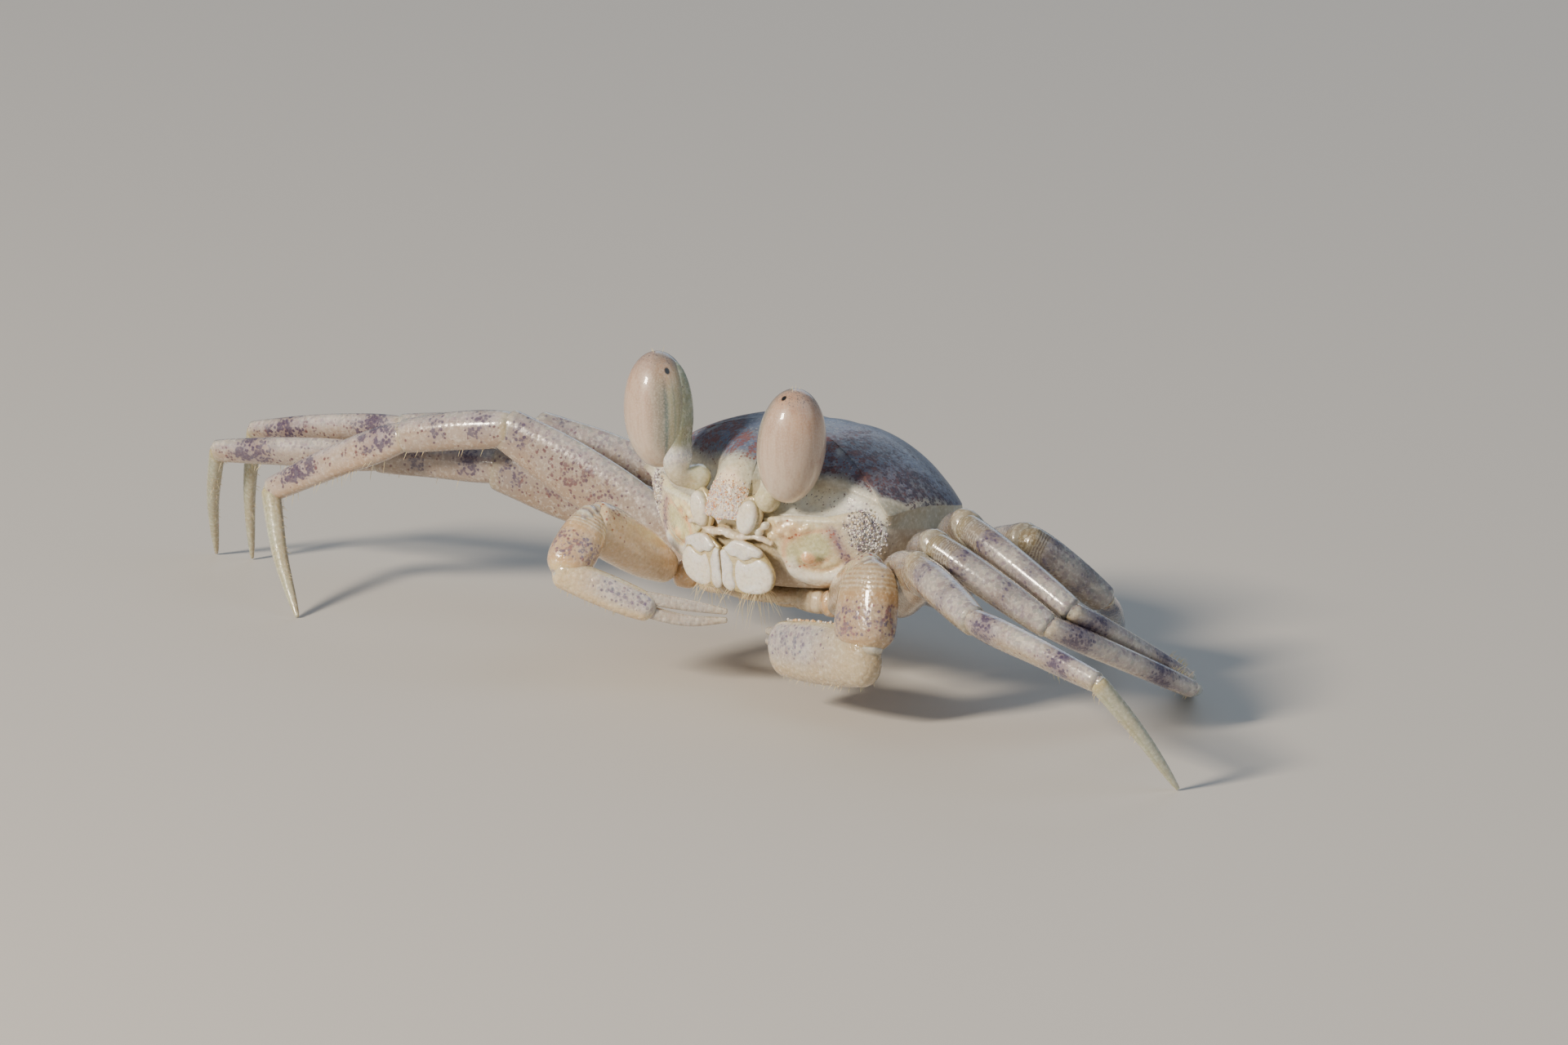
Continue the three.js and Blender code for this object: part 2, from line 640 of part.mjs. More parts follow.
// The origin is on the floor, under the middle of the whole crab.
const extent = new THREE.Box3().setFromObject(crab);
const middle = extent.getCenter(new THREE.Vector3());
crab.position.set(-middle.x, -middle.y, -extent.min.z);

export default crab;
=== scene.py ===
"""A young ghost crab, life size, dressed over its solids: shell, face, eyes, claws, legs and hairs."""

import math

import bpy
import numpy as np
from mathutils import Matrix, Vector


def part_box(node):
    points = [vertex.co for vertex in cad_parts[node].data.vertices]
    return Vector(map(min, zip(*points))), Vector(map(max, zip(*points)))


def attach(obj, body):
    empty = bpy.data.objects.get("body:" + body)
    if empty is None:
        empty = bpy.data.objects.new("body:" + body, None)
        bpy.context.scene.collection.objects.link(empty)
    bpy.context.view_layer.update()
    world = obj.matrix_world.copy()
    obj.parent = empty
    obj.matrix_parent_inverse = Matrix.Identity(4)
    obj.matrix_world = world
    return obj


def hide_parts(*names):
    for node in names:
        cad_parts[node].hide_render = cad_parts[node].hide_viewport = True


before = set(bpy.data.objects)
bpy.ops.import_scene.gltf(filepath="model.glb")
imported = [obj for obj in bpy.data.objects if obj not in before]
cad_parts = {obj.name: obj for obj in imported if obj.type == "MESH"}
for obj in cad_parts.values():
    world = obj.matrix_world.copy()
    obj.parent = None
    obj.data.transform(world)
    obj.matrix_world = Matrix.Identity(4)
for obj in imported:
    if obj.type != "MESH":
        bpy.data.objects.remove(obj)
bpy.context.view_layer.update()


# ---- Back shell -------------------------------------------------------------------------------
# The shell is one thin, hard, finely granulated plate, pale and a little see-through. Its front is a
# tongue bent down between the eyes, and its edge runs along the orbits to a tooth at each corner.
# It is one skin: dome, rim, hollow under the rim, side wall and floor.

shell_low, shell_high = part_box("carapace")
MIDLINE = (shell_low.x + shell_high.x) / 2
TOOTH_LINE = shell_high.y - 0.0123  # the line between the teeth is 12.3 mm before the tail edge

DOME_PEAK = np.array([0.0, -2.5, 15.7])
SHELL_FLOOR = 6.45
BACK_RINGS = 120  # rings of the skin from the peak of the back to the rim

# Rim of the back and, level with it, the edge where the wall begins: left, forward, height in
# millimetres, from the tip of the tongue round the left side to the tail.
RIM_AND_WALL = [
    [0.0, 4.8, 10.5, 0.0, 3.75, 10.2],
    [1.05, 4.65, 10.9, 0.7, 3.72, 10.25],
    [1.58, 4.3, 11.7, 1.2, 3.66, 10.4],
    [1.5, 3.9, 12.7, 1.6, 3.6, 10.7],
    [1.34, 3.3, 13.6, 2.0, 3.5, 10.95],
    [1.8, 2.55, 13.7, 2.5, 3.3, 11.1],
    [2.6, 1.75, 13.3, 3.1, 3.08, 11.25],
    [3.9, 1.15, 12.95, 4.3, 2.65, 11.35],
    [5.6, 0.8, 12.9, 5.9, 1.95, 11.35],
    [7.4, 0.45, 12.75, 7.5, 1.2, 11.2],
    [8.8, 0.15, 12.3, 8.7, 0.5, 10.95],
    [9.8, 0.3, 11.7, 9.35, -0.2, 10.8],
    [9.85, -0.9, 11.7, 9.6, -0.9, 10.7],
    [9.95, -3.2, 11.7, 9.95, -3.4, 10.3],
    [9.65, -5.9, 11.2, 9.8, -6.1, 10.0],
    [8.9, -7.8, 10.75, 9.05, -8.0, 9.7],
    [7.8, -9.1, 10.45, 7.9, -9.3, 9.5],
    [5.2, -11.3, 10.1, 5.2, -11.5, 9.2],
    [2.6, -12.0, 10.0, 2.6, -12.15, 9.1],
    [0.0, -12.2, 10.0, 0.0, -12.3, 9.1],
]
# Ridge of the back seen from the side, from the middle forward over the tongue: forward, height.
FRONT_SLOPE = [
    [-4.0, 15.95], [0.0, 15.75], [1.3, 15.5], [2.4, 15.15], [3.0, 14.8], [3.5, 14.15], [3.9, 13.5],
    [4.25, 12.9], [4.55, 12.05], [4.72, 11.3], [4.8, 10.5],
]


def curve_through(points, count):
    """Evenly spaced places on a smooth curve through the given ones. Between two of them it is a cubic
    whose slope at each end is the slope between the neighbours on either side."""
    given = np.asarray(points, float)
    steps = np.linalg.norm(np.diff(given, axis=0), axis=1)
    reach = np.concatenate([[0.0], np.cumsum(steps)])
    slope = np.gradient(given, reach, axis=0)
    fine = np.linspace(0, reach[-1], 40 * len(given))
    i = np.clip(np.searchsorted(reach, fine, side="right") - 1, 0, len(given) - 2)
    span = (reach[i + 1] - reach[i])[:, None]
    t = (fine - reach[i])[:, None] / span
    dense = (2 * t**3 - 3 * t**2 + 1) * given[i] + (3 * t**2 - 2 * t**3) * given[i + 1]
    dense += (t**3 - 2 * t**2 + t) * span * slope[i] + (t**3 - t**2) * span * slope[i + 1]
    walked = np.concatenate([[0.0], np.cumsum(np.linalg.norm(np.diff(dense, axis=0), axis=1))])
    wanted = np.linspace(0, walked[-1], count)
    return np.stack([np.interp(wanted, walked, column) for column in dense.T], -1)


def ramp(value, low, high):
    """Smooth step from 0 at low to 1 at high."""
    t = np.clip((value - low) / (high - low), 0, 1)
    return t * t * (3 - 2 * t)


def fall(value, low, high):
    """Smooth step from 1 at low to 0 at high."""
    return ramp(-value, -high, -low)


def bump_at(value, centre, spread):
    """Bell-shaped hump of height 1."""
    return np.exp(-(((value - centre) / spread) ** 2))


def spot_at(a, b, centre, size):
    """Round bell-shaped hump of height 1 in two directions."""
    return np.exp(-(((a - centre[0]) / size) ** 2) - ((b - centre[1]) / size) ** 2)


def softened(ring, spread):
    """Numbers round a closed ring, each replaced by the bell-weighted mean of those near it."""
    count = len(ring)
    away = np.minimum(np.arange(count), count - np.arange(count))
    weight = np.exp(-((away / (spread * count)) ** 2))
    return np.fft.irfft(np.fft.rfft(ring) * np.fft.rfft(weight / weight.sum()), count)


def lower_of(a, b, blend):
    """The lower of two heights, rounded where they meet."""
    h = np.clip(0.5 + 0.5 * (b - a) / blend, 0, 1)
    return b * (1 - h) + a * h - blend * h * (1 - h)


def to_metres(crab):
    """Crab millimetres, left, forward and up, to the frame's metres."""
    left, forward, up = np.moveaxis(crab * 0.001, -1, 0)
    return np.stack([MIDLINE + left, TOOTH_LINE - forward, up], -1)


def grid_faces(count, sides):
    """Faces over a grid of closed rings: four-sided ones join each ring to the next, and three-sided ones
    make a fan at each end. The middles of the two fans come after the grid, first ring's first."""
    ring, side = (part.ravel() for part in np.meshgrid(np.arange(count - 1), np.arange(sides), indexing="ij"))
    after = (side + 1) % sides
    this, following = ring * sides, (ring + 1) * sides
    quads = np.stack([this + side, this + after, following + after, following + side], -1)
    turn = np.arange(sides)
    turned = (turn + 1) % sides
    last = (count - 1) * sides
    top = np.stack([turned, turn, np.full(sides, count * sides)], -1)
    end = np.stack([last + turn, last + turned, np.full(sides, count * sides + 1)], -1)
    return quads, np.concatenate([top, end])


def placed(name, data):
    """New object in the scene for this mesh, lamp or camera."""
    thing = bpy.data.objects.new(name, data)
    bpy.context.scene.collection.objects.link(thing)
    return thing


def smooth_piece(name, metres, faces, colours):
    """Smoothly shaded piece. Each named list of colours holds one for every place, from 0 to 1."""
    mesh = bpy.data.meshes.new(name)
    mesh.from_pydata(metres.tolist(), [], faces)
    mesh.polygons.foreach_set("use_smooth", np.ones(len(mesh.polygons), bool))
    for label, values in colours.items():
        solid = np.concatenate([values, np.ones((len(values), 1))], -1).astype(np.float32)
        mesh.attributes.new(label, "FLOAT_COLOR", "POINT").data.foreach_set("color", solid.ravel())
    mesh.update()
    return placed(name, mesh)


skins = {}  # the grid of every skin, for the grains and hairs that stand on it


def closed_skin(name, rings, tint, dots=0.0, red=0.0, pearl=0.0):
    """Closed surface over a grid of places in crab millimetres, rings by sides, with its faces turned
    outwards. It keeps the base colour of every place, how thickly dots lie there, how red they are, and how
    pearly the place is. The middle of each end takes the mean of its ring."""
    rings = skins[name] = np.asarray(rings, float)
    count, sides = rings.shape[:2]
    marks = np.stack([np.broadcast_to(mark, (count, sides)) for mark in (dots, red, pearl)], -1)
    tint = np.broadcast_to(tint, (count, sides, 3))
    crab, tint, marks = (
        np.concatenate([grid.reshape(-1, 3), np.stack([grid[0].mean(0), grid[-1].mean(0)])])
        for grid in (rings, tint, marks)
    )
    metres = to_metres(crab)
    quads, fans = grid_faces(count, sides)
    thirds = np.concatenate([quads[:, [0, 1, 2]], quads[:, [0, 2, 3]], fans])
    a, b, c = (metres[thirds[:, k]] for k in range(3))
    if np.einsum("ij,ij->i", a, np.cross(b, c)).sum() < 0:  # the volume inside counts as negative
        quads, fans = quads[:, ::-1], fans[:, ::-1]
    colours = {"tint": tint.clip(0, 1), "marks": marks.clip(0, 1)}
    return smooth_piece(name, metres, quads.tolist() + fans.tolist(), colours)


def painted(base, *layers):
    """Colours laid over one another: each layer is how much of it covers every place, and its colour."""
    colour = np.asarray(base, float)
    for share, over in layers:
        share = np.clip(np.asarray(share, float), 0, 1)[..., None]
        colour = colour * (1 - share) + np.asarray(over, float) * share
    return colour


def both_halves(half):
    """Ring round the whole body from its left half, which starts and ends on the midline."""
    other = half[1:-1][::-1].copy()
    other[:, [0, 3]] *= -1
    return np.concatenate([half, other])


def wall_share(drop, forward):
    """How far the wall has drawn in toward the middle, from how deep it has gone, 0 to 1 of a quarter
    turn. It draws in twice as much at the sides as in front."""
    frontness = ramp(forward, -1.0, 3.0)
    return 1 - (0.4 - 0.2 * frontness) * (1 - np.cos(drop * np.pi / 2)) ** 0.9


def dome_heights(rim, share):
    """Heights over the back. They fall from the peak as 1 minus the share of the way out to a power, and
    the share is measured to a rounded rim, so the corners of the real one leave no ridge. In front the
    tongue's slope cuts it down, less 0.7 times the square of how far left or right a place lies."""
    way = np.arctan2(rim[:, 0], rim[:, 1] - DOME_PEAK[1])
    reach = np.linalg.norm(rim[:, :2] - DOME_PEAK[:2], axis=1)
    on_tongue = rim[:, 1] > 3.25
    inner = np.clip(1 - (way / 0.222) ** 2, 0, 1)
    # over the tongue the dome runs on to an even rim of its own, about 6 mm away and 14 mm high
    dome_reach = np.where(on_tongue, 5.9 + 0.9 * inner, reach)
    dome_rim = np.where(on_tongue, 13.6 + 0.75 * inner, rim[:, 2])
    round_reach = softened(dome_reach, 0.05)
    round_rim = softened(dome_rim, 0.04)
    backward = fall(rim[:, 1], -9.0, -3.0)
    sideward = ramp(np.abs(rim[:, 0]), 0.0, 7.0)
    fullness = softened(2.4 + (0.9 * sideward - 0.4) * backward, 0.04)
    steepness = softened(0.8 + 0.12 * sideward * backward, 0.04)
    near_rim = share**8
    measured = share * reach / (round_reach + (dome_reach - round_reach) * near_rim)
    edge = round_rim + (dome_rim - round_rim) * near_rim
    dome = edge + (DOME_PEAK[2] - edge) * (1 - np.clip(measured, 0, 1) ** fullness) ** steepness
    left = share * rim[:, 0]
    forward = DOME_PEAK[1] + share * (rim[:, 1] - DOME_PEAK[1])
    slope = curve_through(FRONT_SLOPE, 300)
    tongue = np.interp(forward, slope[:, 0], slope[:, 1]) - 0.7 * left**2 * ramp(forward, 1.5, 3.0)
    return left, forward, lower_of(dome, tongue, 0.45)


def back_shell():
    """Skin from the peak of the back out to the rim, under it, down the wall and in to the middle of the
    floor, with shallow grooves on the back and the orbits hollowed under the rim in front."""
    around = both_halves(curve_through(RIM_AND_WALL, 170))
    rim, wall = around[:, :3].copy(), around[:, 3:]
    share = np.sin(np.linspace(0.02, np.pi / 2, BACK_RINGS))[:, None]
    left, forward, height = dome_heights(rim, share)
    groove = 0.09 * bump_at(np.abs(left), 2.1 + 0.1 * (forward + 6) ** 2, 0.6) * fall(forward, -4.5, -2.5)
    groove += 0.07 * bump_at(forward, -3.6 + 0.09 * left**2, 0.6) * fall(np.abs(left), 3.0, 6.5)
    crease = 0.03 * bump_at(share, 0.9, 0.04) * ramp(np.abs(rim[:, 0]), 2.2, 4.0)
    height = height - groove * fall(share, 0.8, 0.95) - crease
    dome = np.stack([left, forward, height], -1)
    rim[:, 2] = height[-1]

    # from the rim in under it, across the orbits, to the wall
    outward = rim[:, :2] - (0.0, -4.0)
    outward /= np.linalg.norm(outward, axis=1)[:, None]
    in_front = ramp(rim[:, 1], -0.2, 0.5)
    orbit = in_front * (0.06 + 0.3 * bump_at(np.abs(rim[:, 0]), 4.2, 2.0))
    down = np.linspace(0, 1, 26)[1:, None]
    under = (1 - down[..., None]) * rim + down[..., None] * wall
    hollow = np.sin(np.pi * down**0.85)
    under[..., :2] -= ((0.04 + orbit) * hollow)[..., None] * outward

    # down the wall, and in over the floor
    drop = np.linspace(0, 1, 40)[1:, None]
    inward = wall_share(drop, wall[:, 1])[..., None]
    side = np.concatenate([DOME_PEAK[:2] + inward * (wall[:, :2] - DOME_PEAK[:2]), inward], -1)
    side[..., 2] = wall[:, 2] - (wall[:, 2] - SHELL_FLOOR) * np.sin(drop * np.pi / 2)
    closing = np.linspace(1, 0.02, 8)[1:, None, None]
    floor = DOME_PEAK[:2] + closing * (side[-1, :, :2] - DOME_PEAK[:2])
    floor = np.concatenate([floor, np.full(floor.shape[:2] + (1,), SHELL_FLOOR - 0.05)], -1)

    # colours, the same on both sides
    rings = np.concatenate([dome, under, side, floor])
    left, forward, high = np.abs(rings[..., 0]), rings[..., 1], rings[..., 2]
    part = np.repeat([0, 1, 2, 2], [len(dome), len(under), len(side), len(floor)])[:, None]
    on_back, in_orbit = part == 0, part == 1
    behind = np.interp(left, [0, 2.6, 5.6, 8.8, 9.9], [4.0, 1.8, 0.8, 0.15, -1.5]) - forward
    cloudy = np.sin(1.9 * left + 0.7 * forward) * np.sin(1.3 * forward - 0.8 * left + 1.0)
    band = ramp(behind, 0.05, 0.6) * fall(behind, 3.0, 6.0) * ramp(left, 2.6, 4.6)
    band += 0.75 * ramp(behind, 1.0, 2.5) * fall(behind, 6.0, 11.0) * ramp(left, 0.5, 4.0)
    band = np.clip(band * (0.85 + 0.3 * cloudy), 0, 1)
    blotch = spot_at(left, forward, (1.9, 0.9), 1.25)
    for strength, centre, size in ((0.8, (3.6, -0.2), 0.9), (0.8, (0.5, 1.5), 1.0), (0.55, (0.4, 2.9), 0.5),
                                   (0.5, (0.9, 2.2), 0.6)):
        blotch += strength * spot_at(left, forward, centre, size)
    knob = ramp(forward, 3.5, 4.0) * on_back
    edge = bump_at(np.minimum(behind, 9.9 - left), 0.05, 0.18) * (left > 2.0) * on_back
    v_mark = spot_at(left - 0.55 * (forward + 0.8), forward, (5.0, -0.75), 0.3)
    way_under = np.concatenate([np.zeros((len(dome), 1)), down, np.zeros((len(side) + len(floor), 1))])
    olive = in_orbit * in_front * np.sin(np.pi * way_under) ** 0.7
    on_wall = part == 2
    tint = painted(
        (0.42, 0.42, 0.35),
        # painted shade: behind the rim the back is painted dark blue, partly its own darker grey and partly the
        # blue of shade lit by the sky
        (ramp(behind, 0.0, 0.7) * on_back * 0.97, (0.095, 0.14, 0.25)),
        (0.45 * band * on_back, (0.20, 0.15, 0.16)),
        (0.25 * ramp(cloudy, 0.0, 1.0) * on_back * ramp(behind, 0.6, 1.6), (0.24, 0.28, 0.32)),
        (0.85 * ramp(forward, 2.2, 3.5) * fall(left, 2.0, 4.0) * on_back, (0.68, 0.65, 0.50)),
        (0.85 * knob, (1.0, 0.84, 0.64)),
        (0.6 * edge, (0.70, 0.68, 0.58)),
        (0.5 * v_mark * on_back, (0.56, 0.57, 0.54)),
        # painted light: the hollow of each orbit is painted a pale olive, its own olive lightened against the shade
        # it lies in under the eye
        (0.95 * olive, (0.84, 0.84, 0.72)),
        (0.9 * on_wall, (0.44, 0.39, 0.32)),
        (0.5 * on_wall * fall(high, 7.0, 9.0), (0.50, 0.38, 0.25)),
        (0.7 * (part > 0) * fall(left, 2.4, 4.2) * ramp(forward, 2.4, 3.0), (0.66, 0.56, 0.34)),
    )
    spots = (band + 0.95 * np.clip(blotch, 0, 1)) * on_back * (1 - v_mark)
    spots = spots + 0.5 * knob + 0.9 * spot_at(left, forward, (9.6, -5.4), 0.5) * on_back + 0.12 * on_wall
    spots = spots + 0.5 * olive
    red = np.clip(blotch + knob + 0.35 * spot_at(left, forward, (6.0, -1.0), 2.0) + 0.15, 0, 1)
    corner = spot_at(left, high, (7.9, 11.3), 1.1) * (part > 0) * in_front
    return closed_skin("back_shell", rings, tint, spots, red, 0.7 * knob * (high < 12.9) + corner)


def node(tree, kind, inputs=None, **settings):
    """One shader node, with its settings, and each input given a value or linked from another's output."""
    made = tree.nodes.new(kind)
    for key, value in settings.items():
        setattr(made, key, value)
    for key, value in (inputs or {}).items():
        if isinstance(value, bpy.types.NodeSocket):
            tree.links.new(value, made.inputs[key])
        else:
            made.inputs[key].default_value = value
    return made


def blended(tree, share, first, second, mode="MIX"):
    """Mix of two colours by a share. Sockets 6, 7 and 2 are those for colours."""
    inputs = {0: share, 6: first, 7: second}
    return node(tree, "ShaderNodeMix", inputs, data_type="RGBA", blend_type=mode).outputs[2]


def sums(tree, operation, *terms):
    """One step of arithmetic on two or three numbers."""
    return node(tree, "ShaderNodeMath", dict(enumerate(terms)), operation=operation).outputs[0]


def spread_out(tree, value, low, high, smallest=0.0, largest=1.0):
    """Value mapped smoothly from low..high to smallest..largest, and held at the ends."""
    inputs = {"Value": value, "From Min": low, "From Max": high, "To Min": smallest, "To Max": largest}
    return node(tree, "ShaderNodeMapRange", inputs, interpolation_type="SMOOTHSTEP").outputs["Result"]


def noise(tree, places, scale, detail, roughness=0.5):
    """Cloudy value about 0.5, with this many clumps to a metre."""
    inputs = {"Vector": places, "Scale": scale, "Detail": detail, "Roughness": roughness}
    return node(tree, "ShaderNodeTexNoise", inputs).outputs[0]


def blank_material(name):
    """New material, its empty tree, and what it reads of a skin: the place, the base colour and the marks,
    which are dots, redness and pearl."""
    material = bpy.data.materials.new(name)
    material.use_nodes = True
    tree = material.node_tree
    tree.nodes.clear()
    places = node(tree, "ShaderNodeTexCoord").outputs["Object"]
    colour = node(tree, "ShaderNodeAttribute", attribute_name="tint").outputs["Color"]
    marks = node(tree, "ShaderNodeAttribute", attribute_name="marks").outputs["Color"]
    return material, tree, places, colour, node(tree, "ShaderNodeSeparateColor", {"Color": marks}).outputs


def give_surface(tree, inputs):
    """Ends a material with one surface."""
    surface = node(tree, "ShaderNodeBsdfPrincipled", inputs)
    node(tree, "ShaderNodeOutputMaterial", {"Surface": surface.outputs[0]})


def wet_shell(name, dot_size=0.00017, ragged=0.7, grain=0.00026, relief=0.00003, gloss=0.3, clear=0.3, coat=0.5,
              dark=(0.085, 0.05, 0.13, 1), brown=(0.36, 0.075, 0.03, 1)):
    """Thin wet shell over pale flesh, its sizes in metres. Its colour drifts and has a fine haze. Cells of
    pigment lie under the surface: ragged dots, one to a cell of the pattern, that run together where they
    are thick. Pearly places shimmer from lilac to silver, and small grains stand on the surface."""
    material, tree, places, colour, marks = blank_material(name)
    drift = noise(tree, places, 520.0, 2.0)
    fine = noise(tree, places, 4300.0, 3.0, 0.62)
    warm = spread_out(tree, drift, 0.35, 0.68, 0.0, 0.55)
    colour = blended(tree, warm, colour, (0.93, 0.80, 0.62, 1), "MULTIPLY")
    colour = blended(tree, spread_out(tree, fine, 0.48, 0.72, 0.0, 0.32), colour, (0.86, 0.84, 0.78, 1))
    colour = blended(tree, spread_out(tree, fine, 0.5, 0.3, 0.0, 0.28), colour, (0.30, 0.23, 0.17, 1))

    density = spread_out(tree, noise(tree, places, 0.2 / dot_size, 2.0), 0.36, 0.62, 0.55, 1.2)
    density = sums(tree, "MULTIPLY", density, marks[0])
    cells = node(tree, "ShaderNodeTexVoronoi", {"Vector": places, "Scale": 0.55 / dot_size})
    chance = node(tree, "ShaderNodeSeparateColor", {"Color": cells.outputs["Color"]}).outputs
    wander = sums(tree, "MULTIPLY_ADD", fine, ragged, -ragged / 2)
    edge = sums(tree, "ADD", cells.outputs["Distance"], wander)
    size = spread_out(tree, density, 0.0, 1.0, 0.26, 0.5)
    dot = spread_out(tree, sums(tree, "SUBTRACT", size, edge), -0.08, 0.12)
    here = spread_out(tree, sums(tree, "SUBTRACT", density, chance[0]), -0.02, 0.12)
    dot = sums(tree, "MULTIPLY", dot, here)
    level = sums(tree, "MULTIPLY_ADD", density, 0.36, -0.82)
    cloud = spread_out(tree, sums(tree, "ADD", fine, level), -0.04, 0.1)
    pigment = sums(tree, "MAXIMUM", dot, cloud)
    redness = sums(tree, "MULTIPLY_ADD", chance[1], 0.35, marks[1])
    ink = blended(tree, spread_out(tree, redness, 0.25, 0.8), dark, brown)
    colour = blended(tree, sums(tree, "MULTIPLY", pigment, 0.8), colour, ink)

    shimmer = node(tree, "ShaderNodeValToRGB", {"Fac": chance[2]})
    shimmer.color_ramp.elements[0].color = (0.30, 0.24, 0.42, 1)
    shimmer.color_ramp.elements[1].color = (0.90, 0.92, 0.86, 1)
    for position, shade in ((0.3, (0.42, 0.52, 0.55, 1)), (0.55, (0.66, 0.60, 0.66, 1))):
        shimmer.color_ramp.elements.new(position).color = shade
    silver = sums(tree, "MULTIPLY", marks[2], 0.62)
    colour = blended(tree, silver, colour, shimmer.outputs["Color"])

    off_centre = node(tree, "ShaderNodeTexVoronoi", {"Vector": places, "Scale": 1.0 / grain}).outputs["Distance"]
    round_grain = sums(tree, "MULTIPLY", off_centre, off_centre)
    height = sums(tree, "SUBTRACT", sums(tree, "MULTIPLY", fine, 0.6), round_grain)
    raised = node(tree, "ShaderNodeBump", {"Height": height, "Distance": relief, "Strength": 1.0})
    give_surface(tree, {
        "Base Color": colour,
        "Roughness": spread_out(tree, fine, 0.35, 0.7, gloss * 0.75, gloss * 1.35),
        "Subsurface Weight": clear,
        "Subsurface Radius": (1.0, 0.7, 0.45),
        "Subsurface Scale": 0.0007,
        "Specular IOR Level": 0.55,
        "Coat Weight": coat,
        "Coat Roughness": 0.07,
        "Normal": raised.outputs["Normal"],
    })
    return material


def finish(piece, material, slot, *solids):
    """Puts the material on, lets the piece ride with the crab, and hides the solids it stands for."""
    piece.data.materials.append(material)
    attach(piece, "root")
    for solid in solids:
        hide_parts(solid)
    return piece


shell_skin = wet_shell("shell_skin", dot_size=0.0001, ragged=1.3, relief=0.00002, gloss=0.46, clear=0.2, coat=0.1,
                       dark=(0.04, 0.028, 0.05, 1), brown=(0.2, 0.062, 0.045, 1))
finish(back_shell(), shell_skin, "shell", "carapace")


# ---- Cheek plates -----------------------------------------------------------------------------
# Below each orbit a thin plate covers the side of the face, from the mouth out to the ridge that runs
# down from the tooth. It is set into the shell along a seam, with a thick pale lower border.

# Top edge of the wall of the face: how far left, and how far forward it is there. Then the outline of the
# left plate, left and height.
FACE_TOP = ([0.0, 1.8, 3.6, 5.9, 8.2, 9.6], [3.75, 3.5, 2.95, 1.95, 0.85, -0.6])
CHEEK_EDGE = [
    [2.4, 11.0], [3.6, 11.25], [5.2, 11.3], [6.4, 11.4], [7.3, 11.65], [8.2, 11.75], [8.95, 11.5],
    [9.35, 10.85], [9.2, 9.9], [8.7, 8.9], [7.95, 8.0], [7.25, 7.25], [6.4, 6.85], [5.4, 6.75], [4.4, 6.9],
    [3.8, 7.4], [3.5, 8.3], [3.1, 9.1], [2.5, 9.7], [2.3, 10.4], [2.4, 11.0],
]
CHEEK_MIDDLE = np.array([5.8, 9.3])
WALL_TOP = 11.1
# Small lumps under the inner end of the orbit: left, height and size.
CHEEK_LUMPS = [
    (3.5, 10.85, 0.23), (4.0, 10.55, 0.322), (4.5, 10.75, 0.276), (4.95, 10.45, 0.253), (4.2, 10.1, 0.23),
    (3.6, 10.25, 0.276), (5.3, 10.65, 0.207), (3.1, 9.9, 0.23),
]


def face_forward(left, height):
    """How far forward the wall of the face is at a place on it. Above the wall it leans back."""
    top = np.interp(np.abs(left), *FACE_TOP)
    depth = np.clip((WALL_TOP - height) / (WALL_TOP - SHELL_FLOOR), 0, 0.97)
    drawn = wall_share(np.arcsin(depth) * 2 / np.pi, top)
    wider = np.interp(np.abs(left) / drawn, *FACE_TOP)
    return DOME_PEAK[1] + (wider - DOME_PEAK[1]) * drawn - 0.48 * np.maximum(height - WALL_TOP - 0.05, 0)


